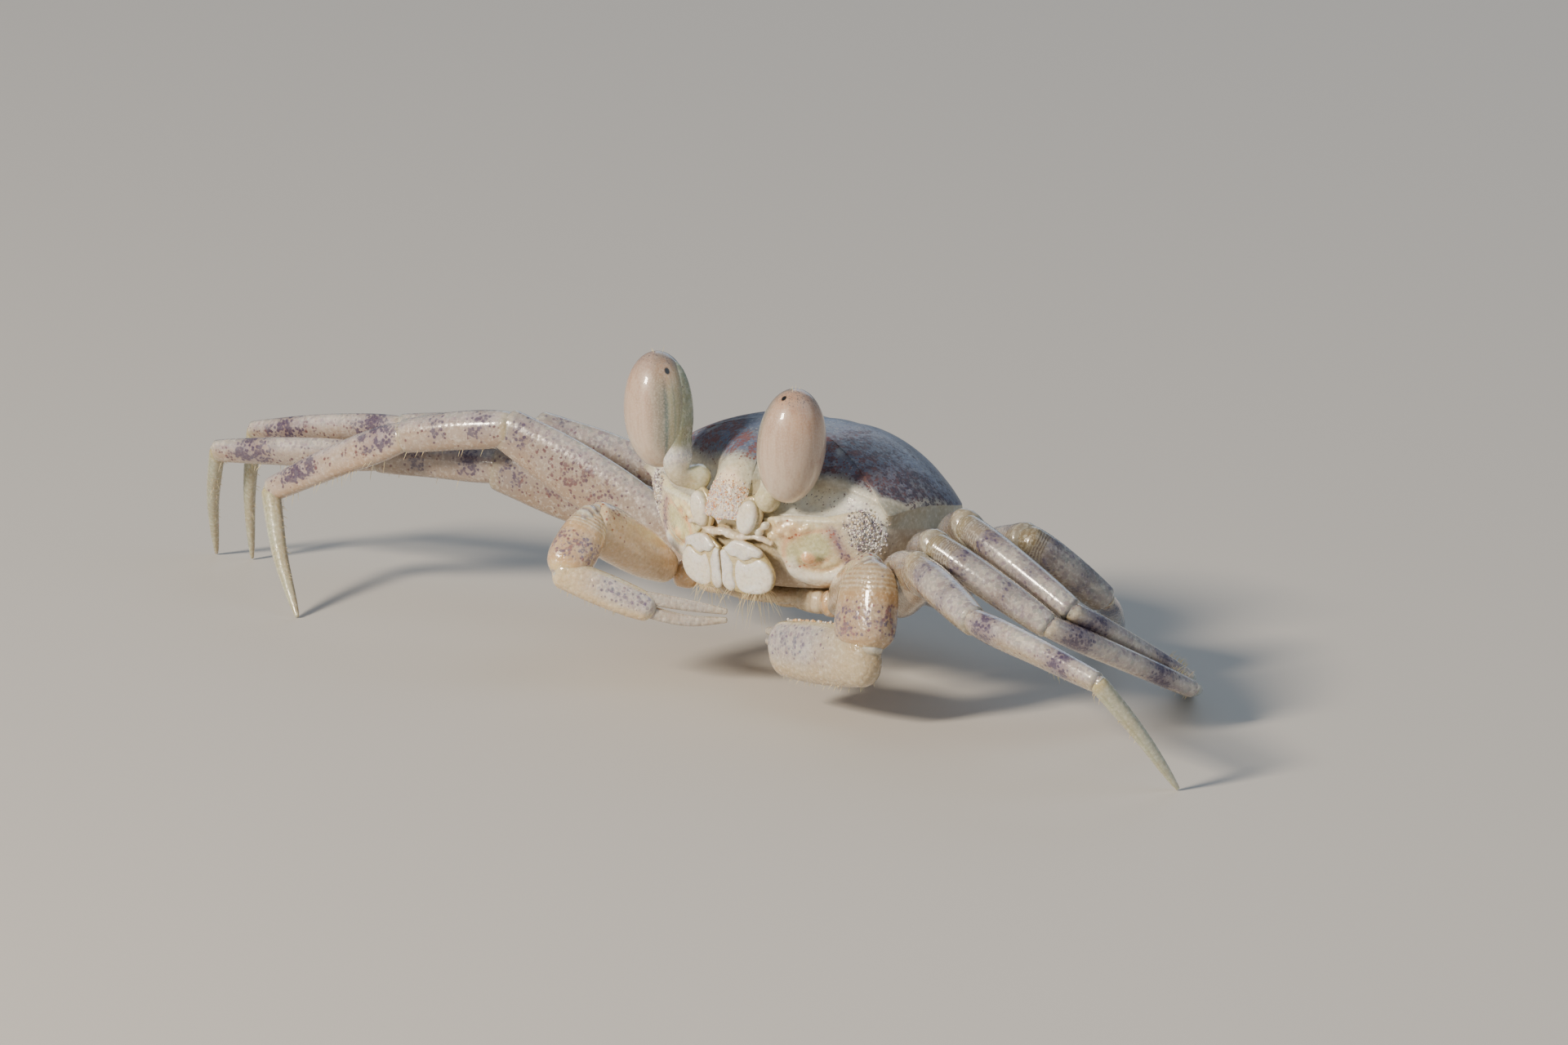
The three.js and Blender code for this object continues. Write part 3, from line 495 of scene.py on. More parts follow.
def cheek(side, name):
    """Plate over the wall of the face. Places shrink from its edge to its middle, and it stands off the wall
    by a rounded step at the edge, with a thicker roll along the lower and outer borders. An olive island,
    round to the third power, lies in its middle with a ball and a pit on it. The back is the front reversed."""
    edge = curve_through(CHEEK_EDGE, 221)[:-1]
    share = np.sin(np.linspace(0.03, np.pi / 2, 70))[:, None, None]
    front = CHEEK_MIDDLE + share * (edge - CHEEK_MIDDLE)
    left, height = front[..., 0], front[..., 1]
    near = share[..., 0] + 0 * left
    step = 0.26 * np.clip(1 - near**14, 0, 1) ** 0.5
    low = fall(edge[:, 1], 7.4, 8.9) * fall(edge[:, 0], 7.2, 8.3) + 0 * near
    outer = ramp(edge[:, 0], 7.4, 8.8) * fall(edge[:, 1], 11.3, 11.9) + 0 * near
    roll = 0.26 * bump_at(near, 0.8, 0.16) * low + 0.14 * bump_at(near, 0.955, 0.03) * outer
    crease = -0.1 * bump_at(near, 0.54, 0.06) * low - 0.05 * bump_at(near, 0.9, 0.03) * outer
    ball = spot_at(left, height, (5.2, 8.7), 0.42)
    knob = 0.36 * ball
    pit = -0.2 * spot_at(left, height, (5.82, 8.55), 0.24)
    brow = 0.1 * bump_at(height, WALL_TOP, 0.16) * fall(left, 6.6, 7.4)
    for lump_left, lump_height, size in CHEEK_LUMPS:
        knob = knob + 0.24 * spot_at(left, height, (lump_left, lump_height), size)
    slant = 9.25 + 0.3 * (left - 5.1)
    island = (np.abs((left - 5.15) / 1.45) ** 3 + np.abs((height - slant) / 1.05) ** 3) ** (1 / 3)
    rise = 0.06 * fall(island, 0.7, 1.1)
    wall = face_forward(left, height)
    out = wall + step + roll + crease + knob + pit + brow + rise
    grid = np.concatenate([np.stack([side * left, out, height], -1),
                           np.stack([side * left, wall - 0.2, height], -1)[::-1]])
    rim_of_island = bump_at(island, 1.0, 0.13)
    purple = bump_at(left + 0.35 * (height - 9.6), 6.95, 0.42) * fall(height, 10.4, 11.2)
    silver = spot_at(left, height, (8.4, 10.85), 1.1) + 0.7 * spot_at(left, height, (8.5, 9.5), 0.7)
    lumps = spot_at(left, height, (4.0, 10.4), 0.75)
    tint = painted(
        (0.80, 0.71, 0.46),
        (0.95 * fall(island, 0.8, 1.05), (0.59, 0.59, 0.33)),
        (0.9 * lumps, (0.70, 0.40, 0.22)),
        (0.7 * rim_of_island * fall(left, 6.0, 6.6), (0.74, 0.42, 0.24)),
        (0.9 * purple, (0.32, 0.19, 0.22)),
        (0.7 * silver, (0.30, 0.26, 0.28)),
        (0.85 * ramp(knob, 0.06, 0.2), (0.88, 0.69, 0.43)),
        (0.95 * ramp(ball, 0.3, 0.6), (0.86, 0.52, 0.27)),
        # painted shadow: the pit beside the ball is painted dark as the ball's shadow
        (0.7 * pit / -0.2, (0.26, 0.25, 0.17)),
        (0.9 * low * ramp(near, 0.56, 0.66), (0.96, 0.93, 0.84)),
        (0.5 * low * bump_at(near, 0.54, 0.04), (0.66, 0.38, 0.20)),
        (0.5 * low * bump_at(near, 0.965, 0.02), (0.52, 0.38, 0.18)),
        (0.8 * outer * ramp(near, 0.93, 0.96), (0.90, 0.88, 0.82)),
        (0.7 * brow / 0.1, (0.84, 0.82, 0.68)),
        (0.6 * fall(left, 2.6, 3.6), (0.78, 0.70, 0.46)),
    )
    dots = 0.8 * purple + 0.75 * silver + 0.5 * rim_of_island * fall(left, 5.8, 6.4) + 0.35 * lumps
    tint = tint * (1.0 if side > 0 else 1.35)  # painted light: the right cheek, on the lit side, is painted 1.35 times as bright
    red, pearl = np.clip(rim_of_island + lumps, 0, 1), np.clip(silver, 0, 1)
    return closed_skin(name, grid, *(np.concatenate([mark, mark[::-1]]) for mark in (tint, dots, red, pearl)))


face_skin = wet_shell("face_skin", dot_size=0.00012, grain=0.0003, gloss=0.26, coat=0.6)
for side, side_name in ((1, "left"), (-1, "right")):
    plate = cheek(side, f"cheek_plate_{side_name}")
    finish(plate, face_skin, "face_plates", f"cheek_{side_name}")


# ---- Eyes -------------------------------------------------------------------------------------
# Each cornea is a tall smooth oval of thousands of tiny lenses, with a dark dot that seems to look at
# you. It wraps round a hard stalk, which shows as a strip up its inner side and swings on a soft joint.

EYES = {
    "right": {"side": -1, "centre": [-4.85, 4.7, 16.95], "lean": -0.05, "sunk": 0.36,
              "foot": [-2.15, 3.0, 12.7], "dot": [1.337, 0.599, 2.617]},
    "left": {"side": 1, "centre": [4.6, 3.3, 15.85], "lean": 0.12, "sunk": 0.55,
             "foot": [2.6, 2.85, 12.5], "dot": [-0.132, 1.001, 3.183]},
}
EYE_RADIUS = 2.12
EYE_HALF_LENGTH = 3.62


def cornea(name, eye):
    """Egg-like ball: half width is the radius times the sine of the angle from the top, and height its
    cosine times the half length. It leans to one side."""
    angle = np.linspace(0.01, np.pi - 0.01, 190)[:, None]
    turn = np.linspace(0, 2 * np.pi, 240, endpoint=False)[None, :]
    wide = EYE_RADIUS * np.sin(angle) ** 0.96
    left, forward = wide * np.cos(turn), wide * np.sin(turn)
    up = EYE_HALF_LENGTH * np.cos(angle) + 0 * turn
    lean = eye["lean"]
    grid = np.stack([left * math.cos(lean) + up * math.sin(lean), forward,
                     up * math.cos(lean) - left * math.sin(lean)], -1)
    away = np.stack([left, forward, up], -1) - np.array(eye["dot"])
    away = np.hypot(np.hypot(away[..., 0], away[..., 1]), 0.6 * away[..., 2])
    pupil = fall(away, 0.13, 0.21)
    glow = bump_at(away, 0, 0.75)
    inner = -eye["side"] * left / np.maximum(wide, 0.3)
    ahead = np.arctan2(forward, -eye["side"] * left)  # turn forward from the inner side
    beside_strip = ramp(up, -3.2, -2.2) * fall(up, 2.2, 3.1)
    cap = ramp(up, 1.9, 3.4)
    outer = fall(inner, -0.9, 0.1)
    tint = painted(
        (0.56, 0.42, 0.325),
        (0.6 * fall(up, -3.0, 0.8), (0.74, 0.65, 0.53)),
        (0.6 * outer * ramp(up, 0.0, 2.6), (0.64, 0.38, 0.22)),
        (0.85 * ramp(inner, 0.25, 0.8) * ramp(up, -3.3, -1.5), (0.22, 0.25, 0.21)),
        (0.75 * beside_strip * ramp(ahead, -0.9, -0.5) * fall(ahead, 0.5, 0.62), (0.46, 0.47, 0.30)),
        (0.7 * beside_strip * bump_at(ahead, 0.63, 0.06), (0.09, 0.17, 0.17)),
        (0.5 * beside_strip * bump_at(ahead, 0.36, 0.035), (0.12, 0.20, 0.20)),
        (0.5 * cap, (0.34, 0.26, 0.24)),
        (0.55 * glow, (0.62, 0.34, 0.16)),
    )
    return closed_skin(name, grid + np.array(eye["centre"]), tint, 0.55 * cap * (1 - pupil), pupil)


def limb(path, up_hint, stations, rings, sides=40, flatness=2.3, round_by=(0.9, 0.6), ridge=0.0):
    """Flattened limb carried along a path. Half depth and half thickness are smooth curves through the
    stations [share, depth, thickness], the section is a circle with its corners a little squared, and
    each end is rounded like a ball. Returns the grid, the share along it and the turn round it."""
    path = np.asarray(path, float)
    steps = np.linspace(0, 1, 200)
    line = curve_through(path, len(steps)) if len(path) > 2 else path[0] + steps[:, None] * (path[1] - path[0])
    sizes = curve_through(stations, 400)
    first, last = stations[0][0], stations[-1][0]
    spread = 0.5 - 0.5 * np.cos(np.linspace(0.04, np.pi - 0.04, rings))
    spread = 0.35 * spread + 0.65 * np.linspace(spread[0], spread[-1], rings)
    share = first + (last - first) * spread
    place = np.stack([np.interp(share, steps, line[:, k]) for k in range(3)], -1)
    lead = np.gradient(line, axis=0)
    lead /= np.linalg.norm(lead, axis=1)[:, None]
    along = np.stack([np.interp(share, steps, lead[:, k]) for k in range(3)], -1)
    total = np.linalg.norm(np.diff(line, axis=0), axis=1).sum()
    over = np.minimum(share, 0) + np.maximum(share - 1, 0)
    place += along * (over * total)[:, None]
    depth = np.interp(share, sizes[:, 0], sizes[:, 1])
    thick = np.interp(share, sizes[:, 0], sizes[:, 2])
    for end, size, how in ((first, stations[0], round_by[0]), (last, stations[-1], round_by[1])):
        reach = np.clip(np.abs(share - end) * total / (how * size[1]), 0, 1)
        rounding = np.sqrt(1 - (1 - reach) ** 2)
        depth, thick = depth * rounding, thick * rounding
    up = np.asarray(up_hint, float) - along * (along @ np.asarray(up_hint, float))[:, None]
    up /= np.linalg.norm(up, axis=1)[:, None]
    across = np.cross(along, up)
    turn = np.linspace(0, 2 * np.pi, sides, endpoint=False)
    x = np.sign(np.cos(turn)) * np.abs(np.cos(turn)) ** (2 / flatness)
    z = np.sign(np.sin(turn)) * np.abs(np.sin(turn)) ** (2 / flatness)
    z = z + ridge * bump_at(turn, np.pi / 2, 0.35)
    grid = place[:, None] + across[:, None] * (thick[:, None] * x)[..., None]
    grid = grid + up[:, None] * (depth[:, None] * z)[..., None]
    return grid, share[:, None] + 0 * turn, turn[None, :] + 0 * share[:, None]


def eyestalk(name, eye):
    """Stalk from its soft joint beside the front up the inner side of the cornea to near its top."""
    inner = np.array([-eye["side"], 0.0, 0.0])
    lean = np.array([math.sin(eye["lean"]), 0, math.cos(eye["lean"])])
    centre = np.array(eye["centre"])
    path = [eye["foot"], centre - 3.7 * lean + 1.45 * inner]
    for rise in (-2.0, -0.6, 0.8, 2.2, 3.0):
        inward = EYE_RADIUS * math.sqrt(1 - (rise / EYE_HALF_LENGTH) ** 2) - eye["sunk"]
        path.append(centre + rise * lean + inward * inner - np.array([0, 0.15 + 0.06 * (rise + 2.0), 0]))
    stations = [[0, 0.66, 0.7], [0.08, 0.8, 0.82], [0.17, 0.66, 0.7], [0.25, 0.74, 0.76], [0.34, 0.95, 0.86],
                [0.44, 0.94, 0.6], [0.55, 0.84, 0.44], [0.75, 0.74, 0.42], [0.92, 0.52, 0.38], [1.0, 0.3, 0.28]]
    grid, share, turn = limb(path, [0, 1, 0], stations, rings=130, sides=64)
    strip = ramp(share, 0.38, 0.47)
    edge = bump_at(turn, np.pi / 2, 0.5)
    ball = bump_at(share, 0.34, 0.06)
    foot = fall(share, 0.12, 0.22)
    tint = painted(
        (0.62, 0.60, 0.46),
        (strip, (0.38, 0.42, 0.30)),
        (0.35 * strip * np.sin(share * 60) ** 2, (0.50, 0.50, 0.36)),
        (0.85 * strip * edge, (0.09, 0.14, 0.13)),
        (0.5 * strip * bump_at(turn, 0.0, 0.4) + 0.5 * strip * bump_at(turn, 2 * np.pi, 0.4), (0.22, 0.30, 0.30)),
        (0.8 * ball, (0.70, 0.69, 0.66)),
        (0.85 * foot, (0.66, 0.61, 0.31)),
        (0.5 * bump_at(share, 0.1, 0.06), (0.62, 0.62, 0.50)),
    )
    return closed_skin(name, grid, tint, 0.12 * strip, 0.0, 0.8 * ball)


def cornea_skin():
    """Painted ball under a clear wet coat, finely lined from top to bottom over its tiny lenses. Its mark
    for redness is the dark dot."""
    material, tree, places, colour, marks = blank_material("cornea_skin")
    stretched = node(tree, "ShaderNodeMapping", {"Vector": places, "Scale": (1.0, 1.0, 0.07)})
    lines = spread_out(tree, noise(tree, stretched.outputs[0], 3600.0, 3.0, 0.6), 0.4, 0.64, 0.0, 0.62)
    colour = blended(tree, lines, colour, (0.80, 0.70, 0.66, 1), "MULTIPLY")
    facets = noise(tree, places, 9000.0, 2.0)
    colour = blended(tree, spread_out(tree, facets, 0.4, 0.7, 0.0, 0.3), colour, (0.72, 0.62, 0.54, 1))
    level = sums(tree, "MULTIPLY_ADD", marks[0], 0.4, -0.78)
    flecks = spread_out(tree, sums(tree, "ADD", facets, level), -0.02, 0.06)
    colour = blended(tree, sums(tree, "MULTIPLY", flecks, 0.7), colour, (0.10, 0.07, 0.08, 1))
    colour = blended(tree, marks[1], colour, (0.003, 0.002, 0.002, 1))
    raised = node(tree, "ShaderNodeBump", {"Height": facets, "Distance": 0.000004, "Strength": 0.6})
    give_surface(tree, {
        "Base Color": colour,
        "Roughness": 0.38,
        "Subsurface Weight": 0.22,
        "Subsurface Radius": (1.0, 0.6, 0.45),
        "Subsurface Scale": 0.0006,
        "Coat Weight": 0.9,
        "Coat Roughness": 0.05,
        "Normal": raised.outputs["Normal"],
    })
    return material


eye_material = cornea_skin()
stalk_material = wet_shell("stalk_skin", dot_size=0.00007, grain=0.00016, relief=0.00001, gloss=0.25,
                           clear=0.35, coat=0.8)
for side_name, eye in EYES.items():
    finish(cornea(f"cornea_{side_name}", eye), eye_material, "cornea", f"eye_{side_name}")
    finish(eyestalk(f"stalk_{side_name}", eye), stalk_material, "eyestalk", f"eyestalk_{side_name}")


# ---- Mouth and feelers ------------------------------------------------------------------------
# Two outer mouthparts close the mouth like doors. Each is a few white plates set close together in
# yellowish skin. A knobbly ridge and the sockets of the small feelers lie above them.

MOUTH_SLANT = 0.14  # the doors lean: each millimetre up is this far forward
MOUTH_TURN = 0.16  # and they turn away from the middle: each millimetre out is this far back
DOOR_MIDDLE = (1.8, 4.05, 7.6)  # left, forward, height
FEELER = (1.85, 11.1)  # left and height of a feeler's socket
DOOR = [[0.1, 9.0], [1.1, 9.56], [2.38, 9.38], [3.0, 8.8], [3.62, 7.4], [3.28, 6.62], [2.3, 6.25],
        [0.8, 6.25], [0.14, 6.5], [0.1, 7.8], [0.1, 9.0]]
DOOR_PLATES = {
    "plate": [[1.02, 8.0], [1.25, 8.42], [1.75, 8.2], [2.2, 8.32], [2.75, 8.6], [3.3, 8.3], [3.62, 7.5],
              [3.3, 6.65], [2.3, 6.25], [1.15, 6.45], [0.94, 7.3], [1.02, 8.0]],
    "palp": [[0.36, 9.05], [1.1, 9.62], [2.3, 9.46], [3.05, 8.95], [2.95, 8.74], [2.5, 8.72], [2.1, 8.5],
             [1.7, 8.4], [1.25, 8.58], [0.85, 8.6], [0.36, 9.05]],
    "strip": [[0.08, 8.85], [0.34, 8.96], [0.72, 8.5], [0.92, 8.1], [0.86, 7.3], [0.92, 6.55], [0.6, 6.25],
              [0.16, 6.45], [0.08, 7.6], [0.08, 8.85]],
}


def slanted(outline, side, lift=0.0):
    """Sets a flat outline of left and height on the slant of the mouth."""
    left, height = np.asarray(outline, float).T
    forward = DOOR_MIDDLE[1] + MOUTH_SLANT * (height - DOOR_MIDDLE[2]) - MOUTH_TURN * (left - DOOR_MIDDLE[0])
    return np.stack([side * left, forward + lift, height], -1)


def pillow(name, outline, normal, bulge, back, tint, dots, pearl=0.0):
    """Cushion-like plate over a closed outline. Places shrink from the outline to its middle, and the face
    and the back swell along the normal by the root of one minus the share to the sixth power. The tint is a
    colour and layers for painted(), each with its cover as a function of the share."""
    outline = curve_through(outline, 129)[:-1]
    centre, normal = outline.mean(0), np.asarray(normal, float)
    share = np.sin(np.linspace(0.04, np.pi / 2, 34))[:, None, None]
    flat = centre + share * (outline - centre)
    swell = normal * np.sqrt(1 - share**6)
    near = share[..., 0] + 0 * outline[:, 0]
    colour = painted(tint[0], *((layer(near), over) for layer, over in tint[1:]))
    colour = np.broadcast_to(colour, near.shape + (3,))
    grid = np.concatenate([flat + bulge * swell, (flat - back * swell)[::-1]])
    return closed_skin(name, grid, np.concatenate([colour, colour[::-1]]), dots, 0.0, pearl)


def ribbed(grid, amount):
    """Swells or draws in every ring about its middle by an amount for each place."""
    middle = grid.mean(1, keepdims=True)
    return middle + (grid - middle) * (1 + amount)[..., None]


WHITE_PLATE = [(1.0, 0.98, 0.92), (lambda near: 0.7 * ramp(near, 0.92, 1.0), (0.66, 0.52, 0.26))]
SUTURE = [(0.60, 0.48, 0.22), (lambda near: 0.6 * fall(near, 0.6, 0.9), (0.76, 0.66, 0.42))]
BULB = [(0.95, 0.92, 0.82), (lambda near: 0.8 * ramp(near, 0.93, 1.0), (0.46, 0.40, 0.15))]
DOOR_NORMAL = [0, 1, -0.12]
for side, side_name in ((1, "left"), (-1, "right")):
    door = pillow(f"mouth_door_{side_name}", slanted(DOOR, side), DOOR_NORMAL, 0.22, 0.5, SUTURE, dots=0.1)
    finish(door, face_skin, "face_plates", f"maxilliped_{side_name}")
    for kind, lift, bulge in (("plate", 0.1, 0.24), ("palp", 0.14, 0.3), ("strip", 0.08, 0.24)):
        part = pillow(f"mouth_{kind}_{side_name}", slanted(DOOR_PLATES[kind], side, lift), DOOR_NORMAL, bulge,
                      0.2, WHITE_PLATE, dots=0.04, pearl=0.1 if kind == "plate" else 0.35)
        finish(part, face_skin, "face_plates")
    turn = np.linspace(0, 2 * np.pi, 25)
    for kind, wide, tall, forward, bulge, tint in (("socket", 0.86, 1.3, 3.98, 0.2, SUTURE),
                                                   ("bulb", 0.7, 1.12, 4.12, 0.5, BULB)):
        out = wide * np.cos(turn) + 0.17 * tall * np.sin(turn)
        edge = np.stack([side * (FEELER[0] + out), forward - 0.2 * out, FEELER[1] + tall * np.sin(turn)], -1)
        part = pillow(f"feeler_{kind}_{side_name}", edge, [side * 0.25, 1, 0], bulge, 0.4, tint,
                      dots=0.1, pearl=0.15)
        solids = (f"antennule_{side_name}",) if kind == "bulb" else ()
        finish(part, face_skin, "face_plates", *solids)
    root_path = [[side * 2.15, 3.75, 10.0], [side * 2.55, 3.72, 10.4], [side * 3.0, 3.5, 10.8]]
    stations = [[0, 0.24, 0.26], [0.3, 0.3, 0.32], [0.5, 0.2, 0.22], [0.75, 0.28, 0.26], [1, 0.1, 0.1]]
    grid, share, _ = limb(root_path, [0, 1, 0], stations, rings=70, sides=32)
    tint = painted((0.90, 0.84, 0.66), (0.7 * bump_at(share, 0.5, 0.1), (0.70, 0.52, 0.24)))
    finish(closed_skin(f"feeler_root_{side_name}", grid, tint, 0.1, 0.8, 0.2), face_skin, "face_plates")

ridge_path = [[-3.3, 3.35, 9.95], [-2.2, 3.75, 10.1], [-1.0, 4.1, 9.78], [0, 4.25, 9.95],
              [1.0, 4.1, 9.72], [2.2, 3.75, 9.85], [3.2, 3.35, 9.45]]
grid, share, turn = limb(ridge_path, [0, 0, 1], [[0, 0.16, 0.3], [0.5, 0.26, 0.34], [1, 0.16, 0.3]],
                         rings=200, sides=36)
grid = ribbed(grid, 0.07 * np.sin(share * 2 * np.pi * 13) + 0.05 * np.sin(share * 2 * np.pi * 7 + 1))
tint = painted((0.84, 0.74, 0.54), (ramp(np.sin(share * 2 * np.pi * 6), -0.3, 0.7), (0.88, 0.78, 0.66)),
               (0.7 * bump_at(turn, 4.7, 0.8), (0.56, 0.42, 0.12)))
finish(closed_skin("mouth_ridge", grid, tint, 0.12, 0.9, 0.25), face_skin, "face_plates")


# ---- Breastplate and tail ---------------------------------------------------------------------
# The underside is a broad plate of joined segments, with a thick ring where each limb leaves it. The
# narrow tail is folded forward under it from behind, in a shallow channel.

belly_skin = wet_shell("belly_skin", grain=0.0004, relief=0.00002)
BELLY = (0.66, 0.55, 0.38)
SEAM = (0.34, 0.22, 0.10)
grid, share, turn = limb(
    [[0, 2.7, 5.75], [0, -4, 5.4], [0, -11.9, 5.9]],
    [0, 0, 1],
    [[0, 0.35, 1.2], [0.1, 0.6, 3.2], [0.28, 0.75, 4.6], [0.5, 0.8, 5.0], [0.72, 0.78, 4.7],
     [0.9, 0.6, 3.6], [1, 0.35, 2.2]],
    rings=160, sides=72,
)
seams = sum(bump_at(share, place, 0.008) for place in (0.2, 0.36, 0.52, 0.68, 0.84))
grid[..., 2] += 0.12 * seams * (np.sin(turn) < 0)
finish(closed_skin("breastplate", grid, painted(BELLY, (0.7 * seams, SEAM)), 0.05), belly_skin,
       "face_plates", "sternum")

grid, share, _ = limb(
    [[0, -11.8, 9.6], [0, -12.75, 7.7], [0, -12.45, 5.2], [0, -10.6, 4.25], [0, -6, 4.05], [0, -1.2, 4.35]],
    [0, 0.3, 1],
    [[0, 0.12, 1.0], [0.03, 0.22, 2.0], [0.08, 0.29, 2.6], [0.16, 0.32, 2.9], [0.3, 0.32, 2.7],
     [0.5, 0.3, 2.2], [0.75, 0.26, 1.7], [0.95, 0.25, 1.1], [1, 0.2, 0.6]],
    rings=160, sides=48,
)
seams = sum(bump_at(share, place, 0.01) for place in (0.14, 0.28, 0.42, 0.56, 0.7, 0.84))
finish(closed_skin("tail_flap", grid, painted(BELLY, (0.75 * seams, SEAM)), 0.2), belly_skin,
       "face_plates", "abdomen")


# ---- Walking legs -----------------------------------------------------------------------------
# Four flattened legs on each side, of four free joints: a broad thigh, a knee piece, a shin and a
# pointed toe. The shell is thin and pearly, and soft pleated skin closes each bend.

# For each pair: length and greatest half depth of thigh, knee piece, shin and toe, and where its left leg
# is rooted, left, forward and height.
LEG_LENGTHS = {2: [15.4, 7.0, 10.4, 8.8], 3: [16.4, 8.4, 11.8, 9.6], 4: [16.4, 8.8, 11.8, 9.6],
               5: [12.0, 6.6, 7.8, 7.2]}
LEG_DEPTHS = {2: [1.85, 1.12, 1.1, 0.6], 3: [2.05, 1.05, 1.05, 0.5], 4: [2.1, 1.0, 0.95, 0.5],
              5: [1.6, 1.1, 0.8, 0.42]}
LEG_ROOTS = {2: [7.4, -2.6, 5.45], 3: [7.8, -5.8, 5.35], 4: [7.4, -8.8, 5.35], 5: [6.2, -11.4, 5.45]}

# Bearing forward of straight out and rise above level of thigh, knee piece and shin, then the
# bearing of the toe, all in degrees.
LEG_POSES = {
    ("right", 2): [12.5, 27, 18.5, -9, 12, -25.5, 148],
    ("right", 3): [15.5, 14, 13.5, -2, 9, -5, -48],
    ("right", 4): [20, 21, 21, -2, 3, -9, -46],
    ("right", 5): [-20, 15, -34, -12, -21, -18, 138],
    ("left", 2): [42, 20, 23, -13, 4, -11, -60],
    ("left", 3): [47, 23, -10, -27, -74, -27, -129],
    ("left", 4): [46, 25, 1, -25, -87, -30, -129],
    ("left", 5): [30, 22, -64, -40, -123, -26, -150],
}
JOINT_NAMES = ["merus", "carpus", "propodus", "dactyl"]
PIECE_NAMES = ["thigh", "knee", "shin", "toe"]
# Half depth and half thickness along each piece, as shares of its greatest half depth. The near end
# of each is slimmer, to sit in the flared far end of the piece before it.
LEG_PROFILES = [
    [[0.0, 0.4, 0.36], [0.1, 0.58, 0.42], [0.22, 0.88, 0.46], [0.42, 1.0, 0.46], [0.72, 0.94, 0.46],
     [0.9, 0.8, 0.47], [0.99, 0.72, 0.47], [1.03, 0.66, 0.44]],
    [[-0.12, 0.72, 0.66], [0.02, 0.98, 0.9], [0.2, 1.06, 0.98], [0.5, 1.04, 0.96], [0.85, 0.96, 0.86],
     [0.98, 0.9, 0.78], [1.03, 0.84, 0.7]],
    [[-0.05, 0.62, 0.55], [0.03, 0.86, 0.68], [0.14, 0.95, 0.73], [0.5, 0.9, 0.68], [0.85, 0.76, 0.6],
     [0.98, 0.68, 0.54], [1.02, 0.62, 0.5]],
    [[-0.04, 0.8, 0.76], [0.05, 1.0, 0.94], [0.15, 0.98, 0.92], [0.5, 0.8, 0.74], [0.85, 0.48, 0.46],
     [0.97, 0.28, 0.28], [1.0, 0.2, 0.2]],
]
# Dark patches: place and length of each along its piece, and how thickly its dots lie.
DARK_PATCHES = {
    "thigh": [(0.93, 0.07, 0.55)],
    "knee": [(0.2, 0.12, 0.75), (0.62, 0.1, 0.6)],
    "shin": [(0.14, 0.13, 1.0), (0.74, 0.12, 1.0)],
    "toe": [],
}
# Painted shade: how bright each piece is painted, how much less so on each side, and how much less on the
# pairs behind, for the self-shadow each lies in. The foremost left shin is painted the darkest.
PIECE_PAINTED_SHADE = {"thigh": 0.72, "knee": 0.8, "shin": 0.88, "toe": 0.82}
SIDE_PAINTED_SHADE = {"right": {"thigh": 0.86, "knee": 0.9, "shin": 0.94},
              "left": {"thigh": 0.9, "knee": 0.69, "shin": 0.86}}
FRONT_LEFT_SHIN_PAINTED_SHADE = 0.74
PAIR_PAINTED_SHADE = {2: 1.0, 3: 0.86, 4: 0.86, 5: 0.7}


def heading(side, bearing, rise):
    """Unit step for a bearing forward of straight out and a rise above level, in degrees."""
    turn, up = math.radians(bearing), math.radians(rise)
    return np.array([side * math.cos(turn) * math.cos(up), math.sin(turn) * math.cos(up), math.sin(up)])


def leg_places(side_name, pair):
    """Places of a leg's joints from root to point, and the heading of each of its pieces."""
    side = 1 if side_name == "left" else -1
    pose, lengths = LEG_POSES[side_name, pair], LEG_LENGTHS[pair]
    left, forward, height = LEG_ROOTS[pair]
    places = [np.array([side * left, forward, height])]
    headings = [heading(side, *pose[2 * k:2 * k + 2]) for k in range(3)]
    for step, length in zip(headings, lengths):
        places.append(places[-1] + step * length)
    drop = min(places[-1][2] - 0.08, lengths[3] * 0.98)
    headings.append(heading(side, pose[6], -math.degrees(math.asin(drop / lengths[3]))))
    places.append(places[-1] + headings[3] * lengths[3])
    return side, places, headings


def outer_side(before, along, after):
    """Direction across a limb, on the outside of its bend and never far below level."""
    hint = np.array([0, 0, 0.35]) + before - after
    hint -= along * hint.dot(along)
    return hint / np.linalg.norm(hint)


# The white is a painted highlight for the lit top edge of the legs, and the amber a painted shade on their
# underside, partly the warm flesh seen through the thin shell.
LILAC, TOP_HIGHLIGHT_WHITE = (0.56, 0.47, 0.48), (0.78, 0.71, 0.56)
SAND, UNDERSIDE_SHADE_AMBER = (0.68, 0.55, 0.38), (0.64, 0.42, 0.24)
limb_skin = wet_shell("limb_skin", dot_size=0.00014, ragged=0.6, grain=0.0003, relief=0.00001, gloss=0.24, coat=0.8,
                      dark=(0.05, 0.03, 0.09, 1), brown=(0.14, 0.04, 0.05, 1))
toe_skin = wet_shell("toe_skin", dot_size=0.0001, grain=0.0003, relief=0.000012, gloss=0.26, coat=0.6)
pleat_skin = wet_shell("pleat_skin", grain=0.0004, relief=0.00001, gloss=0.22, clear=0.4, coat=0.7)


